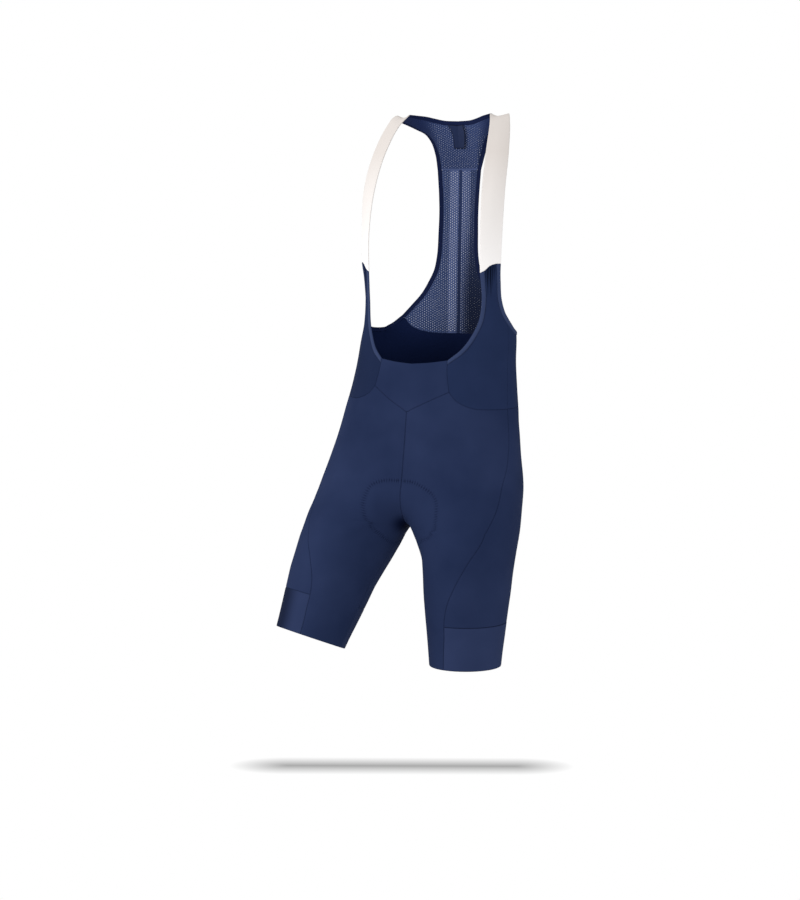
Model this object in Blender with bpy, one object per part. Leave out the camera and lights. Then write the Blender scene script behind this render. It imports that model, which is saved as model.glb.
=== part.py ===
"""Cycling bib shorts, worn by no one: a hollow garment held up at the shoulders.

Every panel is a thin wall laid over one smooth figure. A place on the figure is given by
'around' (percent of the half girth, 0 at centre front, 100 at centre back) and by 'height'
(millimetres below the crest of the straps). The figure is symmetrical until it is posed:
the right leg is swung forward and outward.

World: metres, +Z up, the front faces -Y, the wearer's left is +X, and the origin is midway
between the crests of the two straps. Working numbers are millimetres.
"""
import math

import bpy
import numpy as np
from mathutils import kdtree

MM = 0.001

# Cloth walls and seams
PANEL_WALL = 1.2
BINDING_WALL = 1.8
STRAP_WALL = 1.6
CUFF_WALL = 1.5
LABEL_WALL = 1.0
SEAM_GAP = 0.3
MITRE_LIMIT = 0.7
WELD = 0.02
BINDING_WIDTH = 7.0
STRAP_WIDTH = 33.0

# Levels below the strap crest
CUFF_TOP = -797
HEM = -867
YOKE_SEAM = -88

# One percent around the figure is about this much cloth
PERCENT = 3.4

# The stretch of levels in which the legs part
PARTING = (-590, -720)
PARTING_STEP = 0.1

# How many cells each stretch of cloth has
YOKE_COLUMNS = 5
SIDE_COLUMNS = 10
UNDERARM_COLUMNS = 8
MESH_COLUMNS = 6
MESH_ROWS = 10
WING_COLUMNS = 8
STRAP_ROWS = 17
CUFF_ROWS = 3
LABEL_ROWS = 5
LABEL_COLUMNS = 2
FAN = 241

# Where the rows of cells lie, as shares of a seam's length
NECKLINE_ROWS = (0, 0.03, 0.09, 0.18, 0.32, 0.5, 0.68, 0.85, 1)
ARMHOLE_ROWS = (0, 0.06, 0.18, 0.36, 0.64, 1)
YOKE_ROWS = (0, 0.14, 0.42, 0.71, 1)
SEAT_ROWS = (0, 0.13, 0.27, 0.41, 0.55, 0.68, 0.8, 0.9, 0.96, 1)
THIGH_ROWS = (0, 0.06, 0.16, 0.3, 0.47, 0.64, 0.82, 1)

# Gathers below the strap seam
GATHER_DEPTH = 1.1
GATHER_START = 5
GATHER_LENGTH = 48

# The pose: slopes of the lifted leg (outward, forward), the bend at the hip, how far its
# level sections tilt and how far the cloth rides up
RIGHT_LEAN = (-0.254, -0.374)
LEG_AXIS = (86, -40)
BEND_TOP = -479
BEND_END = -746
TILT_LENGTH = 436
TILT = 0.9
RIDE_UP = 0.95

# How far from the crotch each leg's own pose takes over (left side 1, right side -1)
BLEND_REACH = {1: 60, -1: 120}
STRAP_CREST_Y = 60

# The right side's outer cloth, from this far out, lies further in than the left's
TRIM_START = 108
TRIM_WIDTH = 14

# The seat pad: its rim as a reach from the crotch, turning from front (0) to back (360)
PAD_CLEARANCE = 3.2
PAD_CORE = 4.5
PAD_EDGE = 1.2
PAD_SPOKES = 32
PAD_RINGS = (0, 0.12, 0.28, 0.46, 0.64, 0.82, 1)


def table(columns, *rows):
    """Named columns from rows of numbers."""
    return dict(zip(columns.split(), np.array(rows, float).T))


# The figure's level sections. Each half is a round lobe; the fillet joins the two lobes.
FIGURE = table(
    "height lobe half front middle back fillet",
    (-60, 0, 140, -20, 15, 94, 0),
    (-160, 0, 134, -50, 6, 91, 0),
    (-240, 0, 126, -63, 0, 84, 0),
    (-300, 0, 130, -62, -1, 76, 0),
    (-350, 0, 135, -73, -2, 73, 2),
    (-392, 0, 136, -87, -4, 74, 4),
    (-430, 3, 138, -91, -6, 76, 8),
    (-469, 12, 136, -93, -9, 79, 12),
    (-530, 34, 123, -92, -14, 86, 16),
    (-590, 60, 105, -95, -23, 90, 18),
    (-625, 80.5, 86, -104, -34, 74, 14),
    (-650, 90.5, 78, -112, -42, 58, 12),
    (-690, 92.5, 71.5, -117, -45, 45, 9),
    (-720, 91.5, 68.5, -117, -46, 38, 7),
    (-752, 90, 66.5, -115, -46, 32, 6),
    (-784, 88.5, 63.5, -111, -46, 26, 6),
    (-816, 87.5, 60.5, -107, -46, 20, 6),
    (-848, 86.5, 57.5, -104, -46, 13, 6),
    (-885, 85.5, 54.5, -101, -46, 10, 6),
)

# A slight sway of the trunk over the hips
SWAY = table("height across", (20, 0), (-220, 1), (-330, 6), (-390, 5), (-540, -6), (-900, -6))

RIGHT_TRIM = table(
    "height inward",
    (20, 0),
    (-210, 0),
    (-235, 0),
    (-256, 3),
    (-288, 6),
    (-315, 8.5),
    (-340, 7.5),
    (-368, 4.5),
    (-400, 2.5),
    (-440, 1.2),
    (-480, 0),
    (-615, 0),
    (-650, 4.5),
    (-700, 0),
    (-900, 0),
)

# Cut lines on the figure, each on the wearer's left and mirrored to the right
NECKLINE = table("around height", (32, -249), (32, -290), (30, -325), (27, -346), (22.5, -368), (17, -384))
YOKE_TOP = table("around height", (0, -390), (8, -388), (17, -384))
YOKE_SIDE = table("around height", (17, -384), (17.5, -408), (18.5, -433))
YOKE_FOOT = table("around height", (0, -465), (9, -449), (18.5, -433))
FRONT_WAIST = table(
    "around height",
    (18.5, -433),
    (21.5, -446),
    (26, -455),
    (30, -459),
    (35, -460),
    (44.5, -460),
)
BACK_WAIST = table("around height", (44.5, -460), (60, -458), (80, -455), (100, -452))
FRONT_STRAP = table("around height", (32, -249), (34, -246), (37, -238), (40, -235), (43, -235))
ARMHOLE_FRONT = table("around height", (43, -235), (42.5, -262), (42.3, -292), (44, -312), (46.5, -324))
ARMHOLE_FOOT = table("around height", (46.5, -324), (50, -335), (58, -341), (65, -337), (71, -322))
ARMHOLE_BACK = table(
    "around height",
    (71, -322),
    (75.5, -305),
    (80.5, -286),
    (84, -267),
    (86.8, -248),
    (88.2, -227),
    (89, -189),
    (89.3, -158),
    (89, -129),
    (88, -88),
)
SIDE_SEAM = table("around height", (45.5, -350), (46, -385), (45.5, -425), (44.5, -460))
MESH_SEAM = table("around height", (76, -339), (82, -347), (90, -350), (100, -350))
THIGH_SEAM = table(
    "height around",
    (-460, 44.5),
    (-510, 44),
    (-548, 42),
    (-577, 39),
    (-617, 37),
    (-641, 35),
    (-665, 33.5),
    (-700, 30),
    (-736, 26.5),
    (-765, 24),
    (-785, 23),
    (-820, 22.5),
    (-870, 22),
)

# Edges that leave the figure: the back neck, the wing over the shoulder blade, the straps
BACK_NECK = table(
    "x y z",
    (72, 53, 0),
    (61, 63, -1),
    (50, 71, -2.5),
    (36, 78, -6),
    (25, 81.5, -8.5),
    (0, 84, -10),
)
WING_EDGE = table("x y z", (95, 72, -12), (75, 82, -22), (61, 88, -30), (52, 91, -42), (45, 93, -62))
STRAP_INNER = table("x y z", (72, 53, 0), (78, 40, -12), (88, 7, -56), (94.5, -22, -120), (98, -36, -190))
STRAP_OUTER = table(
    "x y z",
    (95, 72, -12),
    (96.5, 69.5, -4),
    (100, 64.5, -0.5),
    (104, 58, -4),
    (109, 49, -16),
    (119, 25, -56),
    (125, -1, -120),
    (124, -10, -190),
)
PAD_RIM = table(
    "turn reach",
    (0, 84),
    (25, 86),
    (45, 80),
    (70, 66),
    (90, 60),
    (135, 54),
    (180, 56),
    (225, 60),
    (270, 70),
    (315, 88),
    (340, 96),
    (360, 92),
)

CREASE_ANGLE = 50
CLOTH_ROUGHNESS = 0.8
COLOURS = {
    "lycra_navy": (0.018, 0.030, 0.078, 1),
    "mesh_navy": (0.038, 0.053, 0.105, 1),
    "binding_navy": (0.028, 0.042, 0.098, 1),
    "strap_white": (0.80, 0.78, 0.76, 1),
    "gripper_navy": (0.026, 0.040, 0.092, 1),
    "pad_foam": (0.012, 0.018, 0.045, 1),
    "label_navy": (0.016, 0.026, 0.070, 1),
}


def along(shape, by, column, at):
    """A smooth value of one column where another column has the value 'at'."""
    key, value = shape[by], shape[column]
    if key[0] > key[-1]:
        key, value = key[::-1], value[::-1]
    slope = np.gradient(value, key)
    low = np.clip(np.searchsorted(key, at) - 1, 0, len(key) - 2)
    width = key[low + 1] - key[low]
    t = np.clip((at - key[low]) / width, 0, 1)
    rise = (1 + 2 * t) * (1 - t) ** 2 * value[low] + t * t * (3 - 2 * t) * value[low + 1]
    return rise + width * t * (1 - t) * ((1 - t) * slope[low] - t * slope[low + 1])


def smooth(t):
    """An S-shaped step from 0 to 1."""
    t = np.clip(t, 0, 1)
    return t * t * (3 - 2 * t)


def section(turn, height):
    """Half of a level section: turn runs from -1 at centre front to 1 at centre back."""
    size = {column: along(FIGURE, "height", column, height) for column in FIGURE}
    reach = np.arccos(np.clip((size["fillet"] - size["lobe"]) / size["half"], -1, 1))
    angle = turn * reach
    deep = np.where(angle < 0, size["middle"] - size["front"], size["back"] - size["middle"])
    out = size["lobe"] + size["half"] * np.cos(angle)
    x = np.sqrt(np.maximum(out * out - size["fillet"] ** 2, 0))
    y = size["middle"] + deep * np.sin(angle)
    return x, y


def crotch_height():
    """The level where the fillet ends and the two legs part."""
    heights = np.arange(PARTING[0], PARTING[1], -PARTING_STEP)
    size = {column: along(FIGURE, "height", column, heights) for column in ("lobe", "half", "fillet")}
    parted = size["lobe"] - size["half"] >= size["fillet"]
    return float(heights[np.argmax(parted)])


CROTCH = crotch_height()


def outline(height):
    """Points round half a section, and how far each is from centre front along the cloth."""
    x, y = section(np.linspace(-1, 1, FAN)[None, :], height[:, None])
    step = np.hypot(np.diff(x, axis=1), np.diff(y, axis=1))
    run = np.concatenate([np.zeros((len(height), 1)), np.cumsum(step, axis=1)], axis=1)
    return x, y, run


def girth(height):
    """Half the girth of the figure at each height."""
    height = np.atleast_1d(np.asarray(height, float))
    return outline(height)[2][:, -1]


def leaned(points, leg, lean):
    """Points of a leg whose axis bends at the hip towards the lean."""
    slope = math.hypot(*lean)
    heading = np.array(lean) / slope
    full = math.atan(slope)
    z = points[..., 2]
    length = BEND_TOP - BEND_END
    t = np.clip((BEND_TOP - z) / length, 0, 1)
    below = np.maximum(BEND_END - z, 0)
    run = length / full * (1 - np.cos(full * t)) + below * math.sin(full)
    fall = length / full * np.sin(full * t) + below * math.cos(full)
    angle = TILT * full * smooth((BEND_TOP - z) / TILT_LENGTH)
    from_axis = points[..., :2] - np.array([leg * LEG_AXIS[0], LEG_AXIS[1]])
    reach = from_axis @ heading
    moved = points.copy()
    moved[..., :2] += (run + reach * (np.cos(angle) - 1))[..., None] * heading
    moved[..., 2] = np.where(z > BEND_TOP, z, BEND_TOP - RIDE_UP * fall) + reach * np.sin(angle)
    return moved


def posed(points, side):
    """Neutral points with the right side trimmed and its leg swung out, in world places."""
    points = points.copy()
    if side < 0:
        outer = smooth((-points[..., 0] - TRIM_START) / TRIM_WIDTH)
        points[..., 0] += outer * along(RIGHT_TRIM, "height", "inward", points[..., 2])
    apart = np.hypot(points[..., 0], np.maximum(CROTCH - points[..., 2], 0))
    own = 0.5 + 0.5 * smooth(apart / BLEND_REACH[side])
    share = own if side < 0 else 1 - own
    swung = leaned(points, -1, RIGHT_LEAN)
    moved = points + share[..., None] * (swung - points)
    moved[..., 0] += along(SWAY, "height", "across", moved[..., 2])
    moved[..., 1] -= STRAP_CREST_Y
    return moved


def on_figure(around, height, side):
    """World places (mm) of points given by around and height, on one side of the body."""
    flat_height = height.ravel()
    x, y, run = outline(flat_height)
    want = around.ravel() / 100 * run[:, -1]
    px = [np.interp(*row) for row in zip(want, run, x)]
    py = [np.interp(*row) for row in zip(want, run, y)]
    neutral = np.stack([side * np.array(px), np.array(py), flat_height], axis=-1)
    return posed(neutral.reshape(around.shape + (3,)), side)


def line(shape, columns, shares):
    """Points on a smooth line through a table's rows, at shares of its length."""
    rows = np.stack([shape[column] for column in columns.split()], axis=-1)
    weight = np.where(np.array(columns.split()) == "around", PERCENT, 1)
    step = np.linalg.norm(np.diff(rows, axis=0) * weight, axis=1)
    run = np.concatenate([[0], np.cumsum(step)])
    track = dict(shape, run=run)
    at = np.asarray(shares, float) * run[-1]
    return np.stack([along(track, "run", column, at) for column in columns.split()], axis=-1)


def even(count):
    """Evenly spaced shares from 0 to 1."""
    return np.linspace(0, 1, count + 1)


def joined(*lines):
    """Lines laid end to end, each shared end kept once."""
    return np.concatenate([lines[0]] + [later[1:] for later in lines[1:]])


def started(start, shape, columns="around height"):
    """A table with one more row in front."""
    names = columns.split()
    return {name: np.concatenate([[start[i]], shape[name]]) for i, name in enumerate(names)}


def ended(shape, end, columns="around height"):
    """A table with one more row at its end."""
    names = columns.split()
    return {name: np.concatenate([shape[name], [end[i]]]) for i, name in enumerate(names)}


def inset(rim, width):
    """A line on the figure that runs one width inside a rim, on its right-hand side."""
    across = rim[:, 0] / 100 * girth(rim[:, 1])
    step = np.gradient(np.stack([across, rim[:, 1]], axis=-1), axis=0)
    step /= np.linalg.norm(step, axis=1)[:, None]
    new_height = rim[:, 1] - width * step[:, 0]
    new_across = across + width * step[:, 1]
    return np.stack([new_across / girth(new_height) * 100, new_height], axis=-1)


def beside(rim, opposite, width):
    """A line in space that runs one width inside a rim, towards the opposite line."""
    heading = np.gradient(rim, axis=0)
    heading /= np.linalg.norm(heading, axis=1)[:, None]
    toward = opposite - rim
    toward -= np.sum(toward * heading, axis=1)[:, None] * heading
    return rim + width * toward / np.linalg.norm(toward, axis=1)[:, None]


def filled(top, bottom, left, right):
    """A grid of points stretched between four lines (a Coons patch)."""
    rows, columns = len(left), len(top)
    v = np.linspace(0, 1, rows)[:, None, None]
    u = np.linspace(0, 1, columns)[None, :, None]
    # Rows follow the real spacing of the side lines rather than an even one.
    left_steps = np.linalg.norm(np.diff(left, axis=0), axis=1)
    right_steps = np.linalg.norm(np.diff(right, axis=0), axis=1)
    steps = left_steps / left_steps.sum() + right_steps / right_steps.sum()
    run = np.concatenate([[0], np.cumsum(steps)])
    v[:, 0, 0] = run / run[-1]
    between_sides = (1 - u) * left[:, None] + u * right[:, None]
    between_ends = (1 - v) * top[None] + v * bottom[None]
    corners = (1 - v) * ((1 - u) * top[0] + u * top[-1]) + v * ((1 - u) * bottom[0] + u * bottom[-1])
    return between_sides + between_ends - corners


def seam_columns():
    """Shares of a strap's width where the bindings and the gathers' columns meet it."""
    edge = BINDING_WIDTH / STRAP_WIDTH
    return np.concatenate([[0], edge + (1 - 2 * edge) * even(SIDE_COLUMNS), [1]])


class Garment:
    """The cells of every piece, kept until the whole garment's shared normals are known."""

    def __init__(self):
        self.grids = []
        self.points = np.zeros((0, 3))
        self.cells = {}
        self.faces = {}
        self.materials = {}

    def add(self, piece, grid, side, outer, inner, material):
        """Lay a grid of cells into a piece. Outer and inner are its two faces' distances."""
        shape = grid.shape[:2]
        self.grids.append((piece, grid, side, np.broadcast_to(outer, shape), np.broadcast_to(inner, shape)))
        self.materials[piece] = material

    def weld(self):
        """Number the corners, the same number where pieces share a place."""
        self.points = np.concatenate([grid.reshape(-1, 3) for _, grid, _, _, _ in self.grids])
        tree = kdtree.KDTree(len(self.points))
        for number, point in enumerate(self.points):
            tree.insert(point, number)
        tree.balance()
        shared = [min(found[1] for found in tree.find_range(point, WELD)) for point in self.points]
        first = 0
        for piece, grid, side, outer, inner in self.grids:
            count = outer.size
            numbers = np.array(shared[first : first + count]).reshape(outer.shape)
            first += count
            cells = self.cells.setdefault(piece, [])
            self.faces.setdefault(piece, {}).update(
                zip(numbers.ravel().tolist(), zip(outer.ravel().tolist(), inner.ravel().tolist()))
            )
            around = (numbers[:-1, :-1], numbers[1:, :-1], numbers[1:, 1:], numbers[:-1, 1:])
            for cell in np.stack(around, axis=-1).reshape(-1, 4)[:, ::side].tolist():
                cell = list(dict.fromkeys(cell))
                if len(cell) > 2:
                    cells.append(cell)

    def normals(self):
        """Outward directions at each corner, averaged over all the cells that share it."""
        total = np.zeros_like(self.points)
        for piece, cells in self.cells.items():
            if piece == "neck_label":
                continue
            for cell in cells:
                corners = self.points[cell]
                total[cell] += np.cross(corners[2] - corners[0], corners[-1] - corners[1])
        length = np.linalg.norm(total, axis=1)
        return total / np.where(length > 0, length, 1)[:, None]

    def make(self, collection):
        """Turn every piece into an object."""
        self.weld()
        normals = self.normals()
        for piece, cells in self.cells.items():
            points, shell = wall_mesh(self.points, normals, cells, self.faces[piece])
            make_object(piece, points, shell, self.materials[piece], collection)


def wall_mesh(points, normals, cells, faces):
    """A closed wall: cells copied outward and inward and joined round their rim.

    The rim is drawn in by half a seam gap, square to the seam, so that neighbours that
    share a seam line stand one gap apart all the way.
    """
    edges = {}
    for cell in cells:
        for start, end in zip(cell, cell[1:] + cell[:1]):
            edges[(start, end)] = True
    rim = [edge for edge in edges if (edge[1], edge[0]) not in edges]
    pulls = {}
    for start, end in rim:
        for number in (start, end):
            pull = np.cross(normals[number], points[end] - points[start])
            pulls.setdefault(number, []).append(pull / np.linalg.norm(pull))
    numbers = sorted({number for cell in cells for number in cell})
    order = {number: i for i, number in enumerate(numbers)}
    outside = []
    inside = []
    for number in numbers:
        shift = np.zeros(3)
        if number in pulls:
            total = np.sum(pulls[number], axis=0)
            shift = total * SEAM_GAP / 2 / max(float(total @ total) / 2, MITRE_LIMIT)
        out, back = faces[number]
        outside.append(points[number] + shift + normals[number] * out)
        inside.append(points[number] + shift - normals[number] * back)
    count = len(numbers)
    shell = []
    for cell in cells:
        ring = [order[number] for number in cell]
        shell.append(ring)
        shell.append([count + i for i in ring[::-1]])
    for start, end in rim:
        a, b = order[start], order[end]
        shell.append([b, a, count + a, count + b])
    return np.array(outside + inside) * MM, shell


def make_material(name):
    """A plain cloth colour."""
    material = bpy.data.materials.get(name) or bpy.data.materials.new(name)
    material.use_nodes = True
    surface = material.node_tree.nodes["Principled BSDF"]
    surface.inputs["Base Color"].default_value = COLOURS[name]
    surface.inputs["Roughness"].default_value = CLOTH_ROUGHNESS
    surface.inputs["Metallic"].default_value = 0
    return material


def make_object(name, points, faces, material, collection):
    """One sub-part as a smooth-shaded object with sharp rims."""
    mesh = bpy.data.meshes.new(name)
    mesh.from_pydata(points.tolist(), [], faces)
    mesh.materials.append(make_material(material))
    mesh.shade_smooth()
    mesh.set_sharp_from_angle(angle=math.radians(CREASE_ANGLE))
    piece = bpy.data.objects.new(name, mesh)
    collection.objects.link(piece)
    return piece


class CutLines:
    """The seams of one half of the garment, sampled once so that neighbours share them."""

    def __init__(self):
        self.strap_seam = line(FRONT_STRAP, "around height", seam_columns())
        self.neck_rim = line(NECKLINE, "around height", NECKLINE_ROWS)
        self.yoke_side = line(YOKE_SIDE, "around height", YOKE_ROWS)
        self.neck_inner = inset(self.neck_rim[::-1], BINDING_WIDTH)[::-1]
        self.neck_inner[0] = self.strap_seam[1]
        self.neck_inner[-1] = self.yoke_side[1]
        self.arm_rim = joined(
            line(ARMHOLE_FRONT, "around height", ARMHOLE_ROWS),
            line(ARMHOLE_FOOT, "around height", even(UNDERARM_COLUMNS)),
            line(ARMHOLE_BACK, "around height", even(MESH_ROWS)),
        )
        self.arm_inner = inset(self.arm_rim, BINDING_WIDTH)
        self.arm_inner[0] = self.strap_seam[-2]
        self.arm_inner[-1, 1] = YOKE_SEAM
        self.side_at = len(ARMHOLE_ROWS) - 1
        self.mesh_at = self.side_at + UNDERARM_COLUMNS
        side_rows = len(NECKLINE_ROWS) + len(YOKE_ROWS) - 3 - self.side_at
        self.side_seam = line(
            started(self.arm_inner[self.side_at], SIDE_SEAM), "around height", even(side_rows)
        )
        self.mesh_seam = line(
            started(self.arm_inner[self.mesh_at], MESH_SEAM), "around height", even(MESH_COLUMNS)
        )
        self.front_waist = line(FRONT_WAIST, "around height", even(SIDE_COLUMNS))
        self.back_waist = line(BACK_WAIST, "around height", even(UNDERARM_COLUMNS + MESH_COLUMNS))


def gathered(grid, seam_row):
    """Side panel points with soft gathers pressed in below the strap seam."""
    drop = np.linalg.norm(grid - seam_row[None], axis=2)
    fade = np.clip(1 - drop / GATHER_LENGTH, 0, 1) * smooth(drop / GATHER_START)
    wave = (-1.0) ** np.arange(grid.shape[1])
    wave[[0, -1]] = 0
    outward = grid - np.array([0, -STRAP_CREST_Y, 0])
    outward[..., 2] = 0
    outward /= np.linalg.norm(outward, axis=2)[..., None]
    return grid + outward * (GATHER_DEPTH * fade * wave[None, :])[..., None]


def leg_rows(top_heights):
    """Heights of every leg row for each column: waist, crotch, cuff, hem."""
    seat = top_heights[None] + (CROTCH - top_heights[None]) * np.array(SEAT_ROWS)[:, None]
    thigh = CROTCH + (CUFF_TOP - CROTCH) * np.array(THIGH_ROWS)
    cuff = CUFF_TOP + (HEM - CUFF_TOP) * even(CUFF_ROWS)
    lower = np.repeat(joined(thigh, cuff)[:, None], len(top_heights), axis=1)
    return joined(seat, lower)


def add_front(garment, cut, side, word):
    """Yoke half, side panel and neckline binding."""
    half = PANEL_WALL / 2
    yoke_top = line(YOKE_TOP, "around height", even(YOKE_COLUMNS))
    yoke_foot = line(YOKE_FOOT, "around height", even(YOKE_COLUMNS))
    centre = yoke_top[0] + (yoke_foot[0] - yoke_top[0]) * np.array(YOKE_ROWS)[:, None]
    yoke = filled(yoke_top, yoke_foot, centre, cut.yoke_side)
    garment.add("front_yoke", on_figure(yoke[..., 0], yoke[..., 1], side), side, half, half, "lycra_navy")

    left = joined(cut.neck_inner, cut.yoke_side[1:])
    right = joined(cut.arm_inner[: cut.side_at + 1], cut.side_seam)
    panel = filled(cut.strap_seam[1:-1], cut.front_waist, left, right)
    places = on_figure(panel[..., 0], panel[..., 1], side)
    places = gathered(places, places[0])
    garment.add("side_panel_" + word, places, side, half, half, "lycra_navy")

    strip = np.stack([cut.neck_rim, cut.neck_inner], axis=1)
    places = on_figure(strip[..., 0], strip[..., 1], side)
    bind = BINDING_WALL / 2
    garment.add("neckline_binding_" + word, places, side, bind, bind, "binding_navy")


def add_lower_back(garment, cut, side):
    """Solid cloth from side seam to centre back, and the lower mesh above it."""
    half = PANEL_WALL / 2
    top = joined(cut.arm_inner[cut.side_at : cut.mesh_at + 1], cut.mesh_seam)
    down = even(len(cut.side_seam) - 1)[:, None]
    centre = top[-1] + (cut.back_waist[-1] - top[-1]) * down
    panel = filled(top, cut.back_waist, cut.side_seam, centre)
    garment.add("lower_back", on_figure(panel[..., 0], panel[..., 1], side), side, half, half, "lycra_navy")

    edge = cut.arm_inner[cut.mesh_at :][::-1]
    back_middle = np.array([100, YOKE_SEAM])
    yoke_seam = edge[0] + (back_middle - edge[0]) * even(MESH_COLUMNS)[:, None]
    centre = back_middle + (cut.mesh_seam[-1] - back_middle) * even(MESH_ROWS)[:, None]
    panel = filled(yoke_seam, cut.mesh_seam, edge, centre)
    places = on_figure(panel[..., 0], panel[..., 1], side)
    garment.add("back_mesh_lower", places, side, half, half, "mesh_navy")
    return places[0]


def mirrored(points, side):
    """Points off the figure, put on one side of the body and posed."""
    return posed(points * np.array([side, 1, 1]), side)


def unposed(points, side):
    """Trunk points taken back to the neutral left half."""
    back = points + np.array([0, STRAP_CREST_Y, 0])
    back[..., 0] -= along(SWAY, "height", "across", back[..., 2])
    return back * np.array([side, 1, 1])


def add_upper_back(garment, cut, side, yoke_seam):
    """The upper mesh with its wing, the back neck binding and the label. Gives the strap seam."""
    half = PANEL_WALL / 2
    bind = BINDING_WALL / 2
    rim = on_figure(cut.arm_rim[-1:, 0], cut.arm_rim[-1:, 1], side)
    rim_end = unposed(rim, side)[0]
    yoke_line = unposed(yoke_seam, side)
    wing = line(ended(WING_EDGE, rim_end, "x y z"), "x y z", even(WING_COLUMNS))
    neck = line(BACK_NECK, "x y z", even(WING_COLUMNS + MESH_COLUMNS))
    back_seam = neck[0] + (wing[0] - neck[0]) * seam_columns()[:, None]
    neck_inner = beside(neck, joined(wing, yoke_line), BINDING_WIDTH)
    neck_inner[0] = back_seam[1]
    neck_inner[-1, 0] = 0
    share = even(WING_COLUMNS)[:, None]
    wing_inner = beside(wing, (1 - share) * neck[: len(wing)] + share * yoke_line[-1], BINDING_WIDTH)
    wing_inner[0] = back_seam[-2]
    wing_inner[-1] = yoke_line[0]
    foot = joined(wing_inner, yoke_line)
    shares = even(SIDE_COLUMNS)[:, None]
    centre = neck_inner[-1] + (yoke_line[-1] - neck_inner[-1]) * shares
    panel = filled(neck_inner, foot, back_seam[1:-1], centre)
    garment.add("back_mesh_upper", mirrored(panel, side), side, half, half, "mesh_navy")

    strip = mirrored(np.stack([neck, neck_inner], axis=0), side)
    garment.add("back_neck_binding", strip, side, bind, bind, "binding_navy")
    near = -SEAM_GAP - half
    label = mirrored(panel[: LABEL_ROWS + 1, -LABEL_COLUMNS - 1 :], side)
    garment.add("neck_label", label, side, near, LABEL_WALL - near, "label_navy")
    return back_seam, wing, wing_inner


def add_armhole_binding(garment, cut, side, word, wing, wing_inner):
    """One strip from the front strap seam, round the armhole, to the back strap seam."""
    bind = BINDING_WALL / 2
    name = "armhole_binding_" + word
    strip = np.stack([cut.arm_inner, cut.arm_rim], axis=1)
    garment.add(name, on_figure(strip[..., 0], strip[..., 1], side), side, bind, bind, "binding_navy")
    strip = np.stack([wing_inner[::-1], wing[::-1]], axis=1)
    garment.add(name, mirrored(strip, side), side, bind, bind, "binding_navy")


def add_strap(garment, cut, side, word, back_seam):
    """A flat elastic strap from the wing, over the shoulder, to the front."""
    half = STRAP_WALL / 2
    front = unposed(on_figure(cut.strap_seam[:, 0], cut.strap_seam[:, 1], side), side)
    inner = line(ended(STRAP_INNER, front[0], "x y z"), "x y z", even(STRAP_ROWS))
    outer = line(ended(STRAP_OUTER, front[-1], "x y z"), "x y z", even(STRAP_ROWS))
    strap = filled(back_seam, front, inner, outer)
    garment.add("strap_" + word, mirrored(strap, side), side, half, half, "strap_white")


def add_leg(garment, cut, side, word):
    """Front thigh panel, side and back panel, and the cuff below it."""
    half = PANEL_WALL / 2
    yoke_foot = line(YOKE_FOOT, "around height", even(YOKE_COLUMNS))
    waist = joined(yoke_foot, cut.front_waist)
    heights = leg_rows(waist[:, 1])
    seam = along(THIGH_SEAM, "height", "around", heights[:, -1:])
    seam[0] = waist[-1, 0]
    around = waist[None, :, 0] / waist[-1, 0] * seam
    garment.add("leg_front_" + word, on_figure(around, heights, side), side, half, half, "lycra_navy")

    waist = cut.back_waist
    heights = leg_rows(waist[:, 1])
    share = (waist[:, 0] - waist[0, 0]) / (100 - waist[0, 0])
    around = seam + share[None] * (100 - seam)
    places = on_figure(around, heights, side)
    cuff = len(heights) - 1 - CUFF_ROWS
    garment.add("leg_back_" + word, places[: cuff + 1], side, half, half, "lycra_navy")
    half = CUFF_WALL / 2
    garment.add("cuff_" + word, places[cuff:], side, half, half, "gripper_navy")


def add_pad(garment, side):
    """Half of the seat pad: spokes from the crotch, turning from front to back."""
    turn = np.linspace(0, 360, PAD_SPOKES + 1)
    reach = along(PAD_RIM, "turn", "reach", turn)
    rings = np.array(PAD_RINGS)[:, None]
    angle = np.radians(turn)
    height = CROTCH + rings * reach * np.cos(angle)
    off_centre = rings * reach * np.abs(np.sin(angle)) / girth(height.ravel()).reshape(height.shape) * 100
    around = np.where(turn <= 180, off_centre, 100 - off_centre)
    places = on_figure(around, height, side)
    thick = np.broadcast_to(PAD_EDGE + PAD_CORE * (1 - rings**2), height.shape)
    garment.add("chamois_pad", places[::-1], side, -PAD_CLEARANCE, PAD_CLEARANCE + thick, "pad_foam")


def build():
    """Lay out every piece on both sides, then turn each into a closed wall."""
    for old in list(bpy.data.objects):
        bpy.data.objects.remove(old)
    collection = bpy.data.collections.new("cycling_bib_shorts")
    bpy.context.scene.collection.children.link(collection)

    garment = Garment()
    cut = CutLines()
    for side, word in ((1, "left"), (-1, "right")):
        add_front(garment, cut, side, word)
        yoke_seam = add_lower_back(garment, cut, side)
        back_seam, wing, wing_inner = add_upper_back(garment, cut, side, yoke_seam)
        add_armhole_binding(garment, cut, side, word, wing, wing_inner)
        add_strap(garment, cut, side, word, back_seam)
        add_leg(garment, cut, side, word)
    garment.make(collection)

    pad = Garment()
    for side in (1, -1):
        add_pad(pad, side)
    pad.make(collection)


build()
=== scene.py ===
import math

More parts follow.
